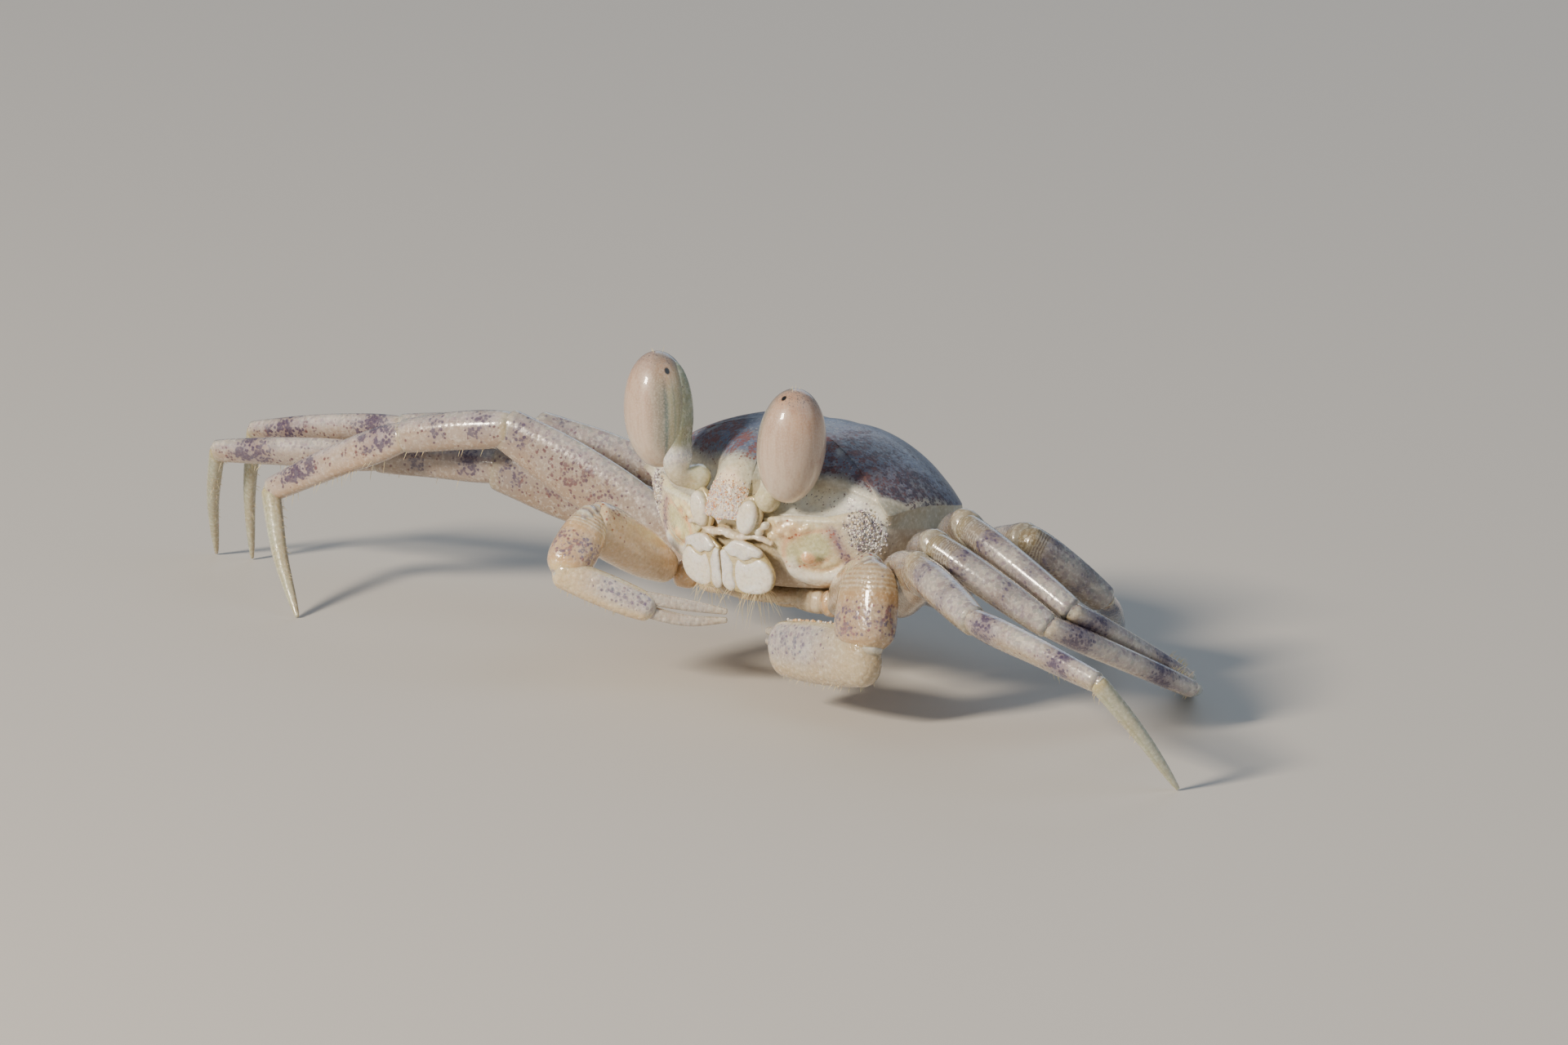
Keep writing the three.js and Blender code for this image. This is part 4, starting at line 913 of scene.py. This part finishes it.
def leg_piece(name, kind, side_name, pair, start, end, up):
    """One joint of a leg: flattened limb with a low ridge along its outer edge and fine cross wrinkles. On
    the left, rows of curved folds go round the far end of the thigh and the near end of the knee."""
    depth = LEG_DEPTHS[pair][PIECE_NAMES.index(kind)]
    stations = [[s, d * depth, t * depth] for s, d, t in LEG_PROFILES[PIECE_NAMES.index(kind)]]
    if pair == 5 and kind == "thigh":
        stations = [[s, d, 1.4 * t] for s, d, t in stations]
    length = np.linalg.norm(end - start)
    toe = kind == "toe"
    middle = (start + end) / 2 + up * (0.03 if toe else 0.014) * length
    grid, share, turn = limb([start, middle, end], up, stations, rings=120, sides=48,
                             flatness=2.1 if toe else 2.35, round_by=(0.9, 0.45), ridge=0.05)
    above = np.sin(turn)
    from_end = np.maximum(share - 0.82, 0) if kind == "thigh" else np.maximum(0.24 - share, 0)
    away = np.hypot(from_end * length / depth, 0.95 * np.cos(turn))  # 1 at the edge of the limb's flat face
    folded = side_name == "left" and kind in ("thigh", "knee")
    fold_zone = folded * ramp(away, 0.8, 1.0) * (from_end > 0)
    folds = np.cos((away + 0.02 * np.sin(5 * turn)) / 0.17 * 2 * np.pi) * fold_zone
    wrinkles = 0 if toe else 0.0025 * np.cos(share * length / 0.42 * 2 * np.pi + 1.6 * np.sin(3 * turn))
    grid = ribbed(grid, 0.012 * folds + wrinkles * (1 - fold_zone))
    patch = sum(strength * bump_at(share, place, spread) for place, spread, strength in DARK_PATCHES[kind])
    patch = patch * ramp(above, -0.75, 0.1) + 0 * share
    upper, lower = ramp(above, 0.2, 0.95), fall(above, -0.9, 0.0)
    # painted shade: deep darkens the piece's colours for the shade it lies in, by piece, pair and side
    deep = PIECE_PAINTED_SHADE[kind] * PAIR_PAINTED_SHADE[pair]
    if toe:
        # painted light and shade: the toe's top is painted paler and its underside amber, and deep darkens it all
        tint = painted((0.58, 0.60, 0.42), (0.6 * upper, (0.68, 0.71, 0.58)), (0.6 * lower, (0.60, 0.48, 0.26)),
                       (0.5 * bump_at(turn, 0.4, 0.12) + 0.5 * bump_at(turn, 2.7, 0.12), (0.36, 0.38, 0.20)),
                       (0.7 * fall(share, 0.0, 0.08), (0.66, 0.54, 0.20)))
        return closed_skin(name, grid, deep * tint, 0.0, 0.0, 0.12)
    front_left_shin = (side_name, pair, kind) == ("left", 2, "shin")
    deep *= FRONT_LEFT_SHIN_PAINTED_SHADE if front_left_shin else SIDE_PAINTED_SHADE[side_name][kind]
    speckle = {"thigh": (0.85 if pair < 4 else 0.5) * bump_at(share, 0.62, 0.3), "knee": 0.3, "shin": 0.5}[kind]
    speckle = speckle * (1.0 if side_name == "right" else 0.3) * ramp(above, -0.9, -0.2) * fall(above, 0.7, 1.0)
    cool = side_name == "right"
    tint = painted(
        SAND,
        (0.55 * cool, LILAC),
        (0.8 * upper, LILAC),
        # painted highlight along the top edge, and painted shade on the underside
        (0.55 * ramp(above, 0.82, 1.0), TOP_HIGHLIGHT_WHITE),
        ((0.75 - 0.35 * cool) * lower, UNDERSIDE_SHADE_AMBER),
        ((0.7 - 0.25 * cool) * patch, (0.28, 0.23, 0.36)),
        # painted light and shade in the folds: their base colour is their own, the ridges are painted pale as
        # highlights and the furrows dark as shade
        (0.8 * fold_zone, (0.60, 0.50, 0.36)),
        (0.9 * np.clip(folds, 0, 1), (0.95, 0.92, 0.80)),
        (0.85 * np.clip(-folds, 0, 1), (0.26, 0.19, 0.24)),
        (0.6 * ramp(share, 0.95, 1.0), (0.70, 0.66, 0.50)),
        (0.6 * fall(share, -0.03, 0.04), (0.62, 0.52, 0.26)),
    )
    # painted sheen: the pearly shimmer is laid on the upper side, away from patches and folds
    glow = 0.55 * upper * (1 - np.clip(patch, 0, 1)) * (1 - fold_zone)
    redness = np.where(patch > 0.3, 0.0, 0.42) + 0 * share
    dots = np.clip(patch + speckle, 0, 1) * (1 - 0.8 * fold_zone)
    return closed_skin(name, grid, deep * tint, dots, redness, glow)


def bend_skin(name, here, before, after, depth_before, depth_after, up):
    """Pleated sleeve round a bend: its middle line turns from one heading to the other, and its size ripples
    in folds while it goes from one limb's size to the other's."""
    reach = 0.6 * depth_before
    path = [here - before * reach, here - before * reach * 0.35 + up * 0.05, here + after * reach * 0.35,
            here + after * reach]
    a, b = depth_before * 0.84, depth_after * 0.84
    stations = [[0, a, a * 0.64], [0.5, (a + b) / 2 * 1.04, (a + b) * 0.35], [1, b, b * 0.68]]
    grid, share, _ = limb(path, up, stations, rings=90, round_by=(0.3, 0.3))
    wave = np.cos(share * 2 * np.pi * 6)
    grid = ribbed(grid, 0.045 * wave)
    # painted light and shade: the crests of the pleats are painted pale as highlights and the troughs dark as shade
    tint = painted((0.62, 0.54, 0.36), (0.85 * ramp(wave, 0.0, 0.9), (0.86, 0.84, 0.76)),
                   (0.8 * fall(wave, -1.0, -0.1), (0.36, 0.27, 0.30)))
    return closed_skin(name, grid, 0.8 * tint, 0.0, 0.0, 0.15)


def limb_socket(name, inner, outer, stations):
    """Thick ring by which a limb joins the breastplate."""
    grid, share, _ = limb([inner, outer], [0, 0, 1], stations, rings=60)
    finish(closed_skin(name, grid, painted(BELLY, (0.6 * bump_at(share, 0.7, 0.03), SEAM)), 0.05),
           belly_skin, "face_plates")


for side_name, pair in LEG_POSES:
    side, places, headings = leg_places(side_name, pair)
    depths = LEG_DEPTHS[pair]
    for k, kind in enumerate(PIECE_NAMES):
        up = outer_side(headings[max(k - 1, 0)], headings[k], headings[min(k + 1, 3)])
        piece = leg_piece(f"{kind}_{side_name}_{pair}", kind, side_name, pair, places[k], places[k + 1], up)
        if kind == "toe":  # its point is cut flat at the floor
            metres = np.empty(len(piece.data.vertices) * 3)
            piece.data.vertices.foreach_get("co", metres)
            metres[2::3] = np.maximum(metres[2::3], 0)
            piece.data.vertices.foreach_set("co", metres)
        finish(piece, toe_skin if kind == "toe" else limb_skin, "toes" if kind == "toe" else "legs",
               f"leg_{side_name}_{pair}_{JOINT_NAMES[k]}")
        if k:
            far_depth = LEG_PROFILES[k - 1][-1][1] * depths[k - 1]
            near_depth = LEG_PROFILES[k][1][1] * depths[k]
            sleeve = bend_skin(f"bend_{side_name}_{pair}_{k}", places[k], headings[k - 1], headings[k],
                               far_depth, near_depth, outer_side(headings[k - 1], headings[k], headings[k]))
            finish(sleeve, pleat_skin, "legs")
    root = places[0]
    limb_socket(f"leg_socket_{side_name}_{pair}", np.array([side * (abs(root[0]) - 3.4), root[1], 5.5]),
                root + headings[0] * 0.3, [[0, 0.6, 0.9], [0.6, 0.85, 0.9], [0.85, 0.95, 0.95], [1, 0.78, 0.8]])


# ---- Claws ------------------------------------------------------------------------------------
# Each arm has a short base, a long upper arm, a rounded wrist and a flat hand of two fingers. The left
# claw is the larger. The wrists are folded finely where they turn, and the hands have a blue-grey field.

# Places of shoulder, armpit, elbow, wrist, knuckle and fingertip, then what shapes the rest: greatest half
# depth of the upper arm (merus); how much its colours are scaled as painted light and shade, brighter on
# the lit right arm and darker on the shaded left one; half depth, half thickness and overhang of the wrist
# (carpus), and of the palm, with its sag before the overhang; half sizes of a finger; how openly the two
# fingers begin, and how they bow.
ARMS = {
    "left": {
        "joints": [[5.1, 0.3, 5.5], [6.7, 1.5, 5.9], [12.6, 5.4, 9.45], [13.3, 6.9, 5.1], [5.3, 6.0, 4.0],
                   [1.9, 2.3, 3.3]],
        "merus": 1.5, "deep": 0.8, "carpus": [2.15, 1.45, 0.22], "palm": [1.95, 1.2, 0.55, 0.16],
        "finger": [0.52, 0.45], "tuck": 0.6, "bow": [0.4, -0.5, 0],
    },
    "right": {
        "joints": [[-5.1, 0.3, 5.5], [-6.3, 1.6, 5.9], [-7.5, 8.0, 10.0], [-7.2, 10.9, 7.5], [-2.2, 8.1, 5.3],
                   [1.1, 5.2, 4.95]],
        "merus": 1.6, "deep": 1.05, "carpus": [1.45, 1.25, 0.26], "palm": [1.05, 0.8, 0.1, 0.12],
        "finger": [0.4, 0.36], "tuck": 1.0, "bow": [0, 0, 0],
    },
}
UP = np.array([0.0, 0.0, 1.0])
CLAW_SAND, CLAW_PALE, BLUE_LILAC = (0.62, 0.42, 0.225), (0.71, 0.60, 0.41), (0.46, 0.43, 0.48)

claw_skin = wet_shell("claw_skin", dot_size=0.00014, grain=0.00032, relief=0.00005, gloss=0.22, coat=1.0)


def unit(step):
    """Step of length 1 the same way."""
    return step / np.linalg.norm(step)


def swirl_bands(share, turn, first, last, fold):
    """Curved folds near the round end of a limb, from minus 1 in the furrows to 1 on the ridges, and where
    they lie."""
    folded = ramp(share, first - 0.001, first) * fall(share, last - 0.12, last)
    return folded * np.cos(share / fold * 2 * np.pi + 0.6 * np.cos(turn)), folded


for side_name, arm in ARMS.items():
    shoulder, armpit, elbow, wrist, knuckle, tip = np.array(arm["joints"], float)
    upper_way = unit(elbow - armpit)
    fore_way = unit(wrist - elbow)
    hand_way = unit(knuckle - wrist)
    arm_up = outer_side(upper_way, upper_way, fore_way)

    stations = [[0.0, 0.7, 0.75], [0.5, 0.85, 0.85], [1.0, 0.8, 0.8]]
    grid = limb([shoulder, armpit], UP, stations, rings=60, sides=48)[0]
    finish(closed_skin(f"arm_base_{side_name}", grid, CLAW_SAND, 0.05), claw_skin, "claws",
           f"claw_{side_name}_ischium")

    m = arm["merus"]
    grid, share, turn = limb(
        [armpit, elbow], arm_up,
        [[0, 0.5 * m, 0.45 * m], [0.14, 0.7 * m, 0.6 * m], [0.45, 0.95 * m, 0.78 * m], [0.8, m, 0.8 * m],
         [1.0, 0.86 * m, 0.72 * m], [1.04, 0.8 * m, 0.66 * m]],
        rings=130, sides=72, round_by=(0.9, 0.5), ridge=0.06,
    )
    above = np.sin(turn)
    tint = painted((0.74, 0.58, 0.40), (0.5 * fall(above, -0.9, -0.1), (0.66, 0.50, 0.32)),
                   (0.6 * ramp(above, 0.7, 1.0), CLAW_PALE), (0.5 * ramp(share, 0.8, 0.95), CLAW_PALE))
    dots = 0.55 * ramp(share, 0.66, 0.85) * ramp(above, -0.8, 0.2)
    # painted light and shade: deep scales the colours here, on the wrist and on the hand, brighter on the lit right
    # arm and darker on the shaded left one
    finish(closed_skin(f"upper_arm_{side_name}", grid, arm["deep"] * tint, dots, 0.45, 0.0), claw_skin, "claws",
           f"claw_{side_name}_merus")

    depth, thick, reach = arm["carpus"]
    grid, share, turn = limb(
        [elbow, wrist], hand_way,
        [[-reach, 0.42 * depth, 0.42 * thick], [-0.04, 0.76 * depth, 0.74 * thick], [0.3, 0.97 * depth, thick],
         [0.65, 1.02 * depth, thick], [1 + reach * 0.5, 0.66 * depth, 0.66 * thick]],
        rings=150, sides=80, round_by=(1.3, 1.0),
    )
    bands, folded = swirl_bands(share, turn, -reach, 0.3, 0.066)
    grid = ribbed(grid, 0.007 * bands)
    field = ramp(share, 0.3, 0.5) * fall(share, 0.8, 0.98)
    beaded = bump_at(share, 0.06, 0.035)
    # painted light and shade: the ridges of the folds are painted pale as highlights and the furrows brown as shade
    tint = painted(CLAW_SAND, (0.5 * folded, CLAW_PALE), (0.6 * np.clip(bands, 0, 1), (0.74, 0.70, 0.58)),
                   (0.45 * np.clip(-bands, 0, 1), (0.44, 0.32, 0.20)),
                   (0.6 * bump_at(share, -reach + 0.05, 0.04), (0.30, 0.28, 0.36)),
                   (0.6 * field, (0.58, 0.44, 0.30)), (0.7 * ramp(share, 0.92, 1.05), (0.70, 0.56, 0.30)))
    piece = closed_skin(f"wrist_{side_name}", grid, arm["deep"] * tint, 0.8 * field + 0.3 * beaded, 0.2,
                        0.15 * field)
    finish(piece, claw_skin, "claws", f"claw_{side_name}_carpus")

    depth, thick, sag, heel = arm["palm"]
    grid, share, turn = limb(
        [wrist - UP * sag, knuckle - UP * sag * 0.3], UP,
        [[-heel, 0.6 * depth, 0.6 * thick], [0.1 - heel, 0.88 * depth, 0.9 * thick], [0.35, depth, thick],
         [0.75, 0.94 * depth, 0.92 * thick], [1.0, 0.74 * depth, 0.72 * thick]],
        rings=150, sides=80, round_by=(1.1, 0.8),
    )
    above = np.sin(turn)
    field = ramp(above, -0.6, 0.2) * fall(above, 0.85, 0.98) * ramp(share, 0.05, 0.55)
    tint = painted(
        CLAW_PALE, (0.75 * field, BLUE_LILAC), (0.55 * fall(above, -0.9, -0.3), (0.64, 0.50, 0.32)),
        (0.5 * ramp(above, 0.85, 1.0), (0.62, 0.62, 0.46)), (0.5 * ramp(share, 0.88, 1.0), (0.64, 0.62, 0.44)),
        (0.5 * fall(share, 0.0, 0.1), (0.66, 0.54, 0.34)),
    )
    piece = closed_skin(f"hand_{side_name}", grid, arm["deep"] * tint, 0.68 * field, 0.1, 0.45 * field)
    finish(piece, claw_skin, "claws", f"claw_{side_name}_palm")

    deep, wide = arm["finger"]
    for which, offset, start in (("lower", -(deep + 0.03), 0.3), ("upper", deep + 0.03, 0.2)):
        root = knuckle + (wrist - knuckle) * start + UP * offset * arm["tuck"]
        middle = (knuckle + tip) / 2 + UP * offset * 1.1 * arm["tuck"] + np.array(arm["bow"])
        point = tip + UP * offset * 0.6
        grid, share, _ = limb(
            [root, middle, point], UP,
            [[0, deep, wide], [0.3, deep, 0.95 * wide], [0.7, 0.78 * deep, 0.8 * wide],
             [1.0, max(0.42 * deep, 0.17), max(0.5 * wide, 0.15)]],
            rings=110, sides=48,
        )
        lines = np.cos(share * 2 * np.pi * 24)
        grid = ribbed(grid, 0.01 * lines)
        # painted highlight: the fine ridges round the finger are painted paler
        tint = painted((0.52, 0.47, 0.42), (0.5 * ramp(lines, 0.2, 1.0), (0.62, 0.58, 0.52)),
                       (0.5 * ramp(share, 0.7, 1.0), (0.66, 0.60, 0.46)))
        finger = closed_skin(f"finger_{which}_{side_name}", grid, tint, 0.05, 0.0, 0.15)
        finish(finger, claw_skin, "claws", *((f"claw_{side_name}_finger",) if which == "upper" else ()))

    finish(bend_skin(f"elbow_skin_{side_name}", elbow, upper_way, fore_way, 0.8 * m, 0.9 * m, arm_up),
           pleat_skin, "claws")
    finish(bend_skin(f"wrist_skin_{side_name}", wrist, fore_way, hand_way, 0.75 * arm["carpus"][0],
                     0.7 * depth, unit(fore_way - hand_way)), pleat_skin, "claws")
    limb_socket(f"claw_socket_{side_name}", np.array([shoulder[0] * 0.45, 0.3, 5.5]), shoulder,
                [[0, 0.6, 0.9], [0.7, 0.8, 0.85], [1, 0.7, 0.7]])


# ---- Glittering grains ------------------------------------------------------------------------
# Small glassy beads stand on the shell at the outer end of each orbit and on the tongue, and in a row
# along the upper edge of the larger hand.

scatter = np.random.default_rng(11)
bead_skin = wet_shell("bead_skin", relief=0.000004, gloss=0.1, clear=0.1, coat=1.0)
# The two near-white colours are painted glints; the others are the grains' own greys, golds and purples.
GLITTER = np.array([(1.0, 1.0, 0.98), (1.0, 0.99, 0.95), (0.50, 0.48, 0.50), (0.60, 0.50, 0.35),
                    (0.15, 0.14, 0.18), (0.34, 0.27, 0.35)])
GOLDEN = np.array([(0.96, 0.93, 0.88), (0.90, 0.80, 0.66), (0.86, 0.52, 0.22), (0.80, 0.36, 0.16),
                   (0.62, 0.54, 0.66)])
FRONT_BEADS = 720
# The beads at the orbits stand in rows, every second one shifted by half a step: where the first is, left
# and height, the steps and how far each strays.
BEADS_FROM, BEAD_STEPS, BEAD_STRAY = (6.75, 8.7), (0.112, 0.098), 0.024


def beads(name, places, sizes, slot, shades, pearl):
    """Joined small balls, each with the size and colour given, at places in crab millimetres."""
    rings, sides = 5, 8
    lat = np.linspace(0.25, np.pi - 0.25, rings)
    lon = np.linspace(0, 2 * np.pi, sides, endpoint=False)
    ball = np.stack([np.outer(np.sin(lat), np.cos(lon)), np.outer(np.sin(lat), np.sin(lon)),
                     np.outer(np.cos(lat), np.ones(sides))], -1).reshape(-1, 3)
    ball = np.concatenate([ball, [[0, 0, 1], [0, 0, -1]]])
    metres = to_metres(np.asarray(places))[:, None] + ball * sizes[:, None, None] * 0.001
    quads, fans = grid_faces(rings, sides)
    first = (np.arange(len(places)) * len(ball))[:, None, None]
    faces = [(corners + first).reshape(-1, corners.shape[1]).tolist()
             for corners in (quads[:, [0, 3, 2, 1]], fans[:, ::-1])]  # turned outwards
    colours = {"tint": shades, "marks": np.broadcast_to([0.0, 0.0, pearl], (len(sizes), 3))}
    colours = {label: np.repeat(values, len(ball), 0) for label, values in colours.items()}
    return finish(smooth_piece(name, metres.reshape(-1, 3), faces[0] + faces[1], colours), bead_skin, slot)


def on_skin(name, chance, count):
    """Random places on a skin, more of them where the chance is high: the ring and side of each, the place
    itself and the way out of the skin there."""
    rings = skins[name]
    down = np.gradient(rings, axis=0)
    round_it = (np.roll(rings, -1, 1) - np.roll(rings, 1, 1)) / 2
    out = np.cross(down, round_it)
    area = np.linalg.norm(out, axis=-1) + 1e-9
    out = out / area[..., None]
    centre = rings.mean(1, keepdims=True)
    out = out * np.sign(((rings - centre) * out).sum(-1).mean())
    weight = np.clip(chance, 0, None) * area
    ring, side = np.divmod(scatter.choice(weight.size, count, p=(weight / weight.sum()).ravel()), rings.shape[1])
    shift = scatter.uniform(-0.5, 0.5, (2, count, 1))
    place = rings[ring, side] + shift[0] * down[ring, side] + shift[1] * round_it[ring, side]
    return ring, side, place, out[ring, side]


for side, side_name in ((1, "left"), (-1, "right")):
    row, column = (part.ravel() for part in np.meshgrid(np.arange(34), np.arange(26), indexing="ij"))
    left = BEADS_FROM[0] + BEAD_STEPS[0] * (column + 0.5 * (row % 2)) + scatter.normal(0, BEAD_STRAY, len(row))
    height = BEADS_FROM[1] + BEAD_STEPS[1] * row + scatter.normal(0, BEAD_STRAY, len(row))
    chance = spot_at(left, height, (8.35, 10.85), 1.2) + 0.6 * spot_at(left, height, (8.5, 9.5), 0.7)
    inside = scatter.uniform(0.3, 0.8, len(row)) < chance
    left, height = left[inside], height[inside]
    places = np.stack([side * left, face_forward(left, height) + 0.25, height], -1)
    beads(f"corner_beads_{side_name}", places, scatter.uniform(0.04, 0.095, len(left)), "face_plates",
          GLITTER[scatter.integers(0, len(GLITTER), len(left))], 0.0)

shell = skins["back_shell"]
low_front = ramp(shell[..., 1], 3.5, 3.9) * fall(shell[..., 2], 12.7, 13.3) * ramp(shell[..., 2], 10.3, 11.0)
low_front[BACK_RINGS:] = 0  # not under the rim
places = on_skin("back_shell", low_front, FRONT_BEADS)[2]
beads("front_beads", places, scatter.uniform(0.03, 0.075, FRONT_BEADS), "face_plates",
      GOLDEN[scatter.integers(0, len(GOLDEN), FRONT_BEADS)], 0.1)

# every third ring of the hand, a quarter of the way round, which is its top
along = np.arange(8, 122, 3)
top = skins["hand_left"][along, skins["hand_left"].shape[1] // 4] + scatter.normal(0, 0.03, (len(along), 3))
beads("hand_beads", top, scatter.uniform(0.07, 0.12, len(along)), "claws",
      GOLDEN[scatter.integers(0, 3, len(along))], 0.1)


# ---- Hairs ------------------------------------------------------------------------------------
# Stiff golden hairs stand in rows under the legs and hands, in tufts on two left shins and below the
# mouth, and a few on the tip of each eye. Each grows out of a pore and leans toward the point of its limb.

def plain_material(name, settings):
    """Material of one even surface."""
    material = bpy.data.materials.new(name)
    material.use_nodes = True
    for key, value in settings.items():
        material.node_tree.nodes["Principled BSDF"].inputs[key].default_value = value
    return material


hair_material = plain_material("hair", {"Base Color": (0.80, 0.66, 0.40, 1), "Roughness": 0.4,
                                        "Subsurface Weight": 0.2, "Subsurface Scale": 0.0002})


def hairs(name, skin, chance, count, length, lean, slot, width=0.022, droop=0.1):
    """Three-sided spikes, each of three lengths joined end to end and rooted on a skin. They stand out of it,
    lean along it by a share, and droop. Each keeps the place of its root on the skin's own grid, as a small
    patch of its map."""
    ring, side, root, out = on_skin(skin, chance, count)
    rings = skins[skin]
    ahead = np.gradient(rings.mean(1), axis=0)[ring]
    ahead /= np.linalg.norm(ahead, axis=1)[:, None] + 1e-9
    way = out + lean * ahead + scatter.normal(0, 0.16, (count, 3))
    way /= np.linalg.norm(way, axis=1)[:, None]
    long = length * scatter.uniform(0.3, 1.0, count)
    across = np.cross(way, [0.3, 0.5, 0.81])
    across /= np.linalg.norm(across, axis=1)[:, None]
    other = np.cross(way, across)
    points = []
    for step, share in ((-0.06, 1.0), (0.35, 0.8), (0.7, 0.5)):
        middle = root + way * (long * step)[:, None] - np.array([0, 0, droop]) * (long * step**2)[:, None]
        for turn in 2 * np.pi * np.arange(3) / 3:
            points.append(middle + width * share * (np.cos(turn) * across + np.sin(turn) * other))
    points.append(root + way * long[:, None] - np.array([0, 0, droop]) * long[:, None])
    points = np.stack(points, 1)
    faces = [(first + k, first + (k + 1) % 3, first + 3 + (k + 1) % 3, first + 3 + k)
             for first in (0, 3) for k in range(3)]
    faces += [(6 + k, 6 + (k + 1) % 3, 9) for k in range(3)] + [(2, 1, 0)]
    every = [tuple(start + corner for corner in face) for start in range(0, 10 * count, 10) for face in faces]
    mesh = bpy.data.meshes.new(name)
    mesh.from_pydata(to_metres(points).reshape(-1, 3).tolist(), [], every)
    map_patch = np.array([[k / 3, a / 3] for a in range(3) for k in range(3)] + [[0.5, 1.0]]) * 0.003
    spots = np.stack([side / rings.shape[1], ring / rings.shape[0]], -1) * 0.99
    corners = np.concatenate(faces)
    mesh.uv_layers.new(name="OFBake").data.foreach_set("uv", (spots[:, None] + map_patch[corners]).ravel())
    return finish(placed(name, mesh), hair_material, slot)


def strip(skin, first, last, turn, wide):
    """Where a skin lies between two shares of its rings, and no further than so many degrees from a turn."""
    rings, sides = skins[skin].shape[:2]
    share = np.linspace(0, 1, rings)[:, None]
    angle = np.linspace(0, 360, sides, endpoint=False)[None, :]
    off = np.abs((angle - turn + 180) % 360 - 180)
    return ((share > first) & (share < last) & (off < wide)).astype(float)


for side_name in ("left", "right"):
    for pair in (2, 3, 4, 5):
        for kind, first, last, wide, count, length, lean, slot in (
                ("shin", 0.1, 0.95, 40, 22, 0.8, 0.5, "legs"), ("toe", 0.03, 0.7, 80, 26, 0.4, 0.6, "toes"),
                ("knee", 0.3, 0.95, 40, 8, 0.7, 0.3, "legs")):
            skin = f"{kind}_{side_name}_{pair}"
            hairs(f"{kind}_hairs_{side_name}_{pair}", skin, strip(skin, first, last, 270, wide), count, length,
                  lean, slot)
for pair in (3, 4):
    shin = f"shin_left_{pair}"
    hairs(f"shin_tuft_left_{pair}", shin, strip(shin, 0.82, 0.98, 300, 60), 60, 1.0, 0.5, "legs")
for skin, count, length in (("mouth_door_left", 44, 1.9), ("mouth_door_right", 26, 1.5)):
    low = fall(skins[skin][..., 2], 6.35, 6.75)
    hairs(f"{skin}_hairs", skin, low, count, length, 0.0, "face_plates", droop=0.5)
for side_name in ("left", "right"):
    palm = f"hand_{side_name}"
    hairs(f"hand_hairs_{side_name}", palm, strip(palm, 0.1, 0.9, 270, 40), 30, 0.4, 0.4, "claws")
    eye = f"cornea_{side_name}"
    hairs(f"eye_hairs_{side_name}", eye, strip(eye, 0.02, 0.06, 0, 180), 4, 0.55, 0.0, "cornea", width=0.016)


# ---- Floor, lights and camera -----------------------------------------------------------------
# A plain pale floor, a low warm key lamp in front on the viewer's left, a broad soft cool fill, and a
# long lens that looks down a little at the crab's left front.

HALF_FLOOR = 1.5
floor_mesh = bpy.data.meshes.new("floor")
floor_mesh.from_pydata([(x * HALF_FLOOR, y * HALF_FLOOR, 0) for x, y in ((-1, -1), (1, -1), (1, 1), (-1, 1))],
                       [], [(0, 1, 2, 3)])
floor_mesh.materials.append(plain_material("floor_paint", {"Base Color": (0.64, 0.61, 0.57, 1), "Roughness": 0.8}))
floor = placed("floor", floor_mesh)

VIEW_TURN = math.radians(40.0)
VIEW_RISE = math.radians(13.7)
LENS = 600.0
SENSOR_WIDTH = 36.0
SEEN_WIDTH = 0.096  # how wide a strip the view takes in where the crab is
TEETH_HEIGHT = 0.01175
AIM_RIGHT, AIM_DOWN = 0.00095, 0.002  # where the view is centred, from the middle between the teeth
toward_camera = np.array([
    math.sin(VIEW_TURN) * math.cos(VIEW_RISE), -math.cos(VIEW_TURN) * math.cos(VIEW_RISE), math.sin(VIEW_RISE)
])
view_right = np.array([math.cos(VIEW_TURN), math.sin(VIEW_TURN), 0.0])
view_up = np.cross(toward_camera, view_right)
aim = np.array([MIDLINE, TOOTH_LINE, TEETH_HEIGHT]) + view_right * AIM_RIGHT - view_up * AIM_DOWN


def look(thing, origin):
    """Puts a camera or lamp at its origin and turns it to the aim, with its top up."""
    thing.location = origin
    direction = Vector(aim) - Vector(origin)
    thing.rotation_euler = direction.to_track_quat("-Z", "Y").to_euler()


camera_data = bpy.data.cameras.new("camera")
camera_data.lens = LENS
camera_data.sensor_width = SENSOR_WIDTH
camera_data.clip_start = 0.05
camera = placed("camera", camera_data)
look(camera, aim + toward_camera * (LENS / SENSOR_WIDTH * SEEN_WIDTH))
bpy.context.scene.camera = camera


def lamp(name, where, size, power, colour):
    """Square soft lamp, placed in the camera's directions: right, up and toward it, in metres."""
    data = bpy.data.lights.new(name, "AREA")
    data.size = size
    data.energy = power
    data.color = colour
    look(placed(name, data), aim + view_right * where[0] + view_up * where[1] + toward_camera * where[2])


lamp("key", (-0.46, 0.24, 0.44), 0.12, 6.6, (1.0, 0.87, 0.70))
lamp("fill", (0.45, 0.40, 0.35), 0.6, 0.9, (0.80, 0.90, 1.0))
lamp("back", (0.15, 0.45, -0.50), 0.4, 0.6, (0.70, 0.84, 1.0))
world = bpy.data.worlds.new("world")
world.use_nodes = True
world.node_tree.nodes["Background"].inputs["Color"].default_value = (0.70, 0.83, 1.0, 1)
world.node_tree.nodes["Background"].inputs["Strength"].default_value = 0.22
bpy.context.scene.world = world
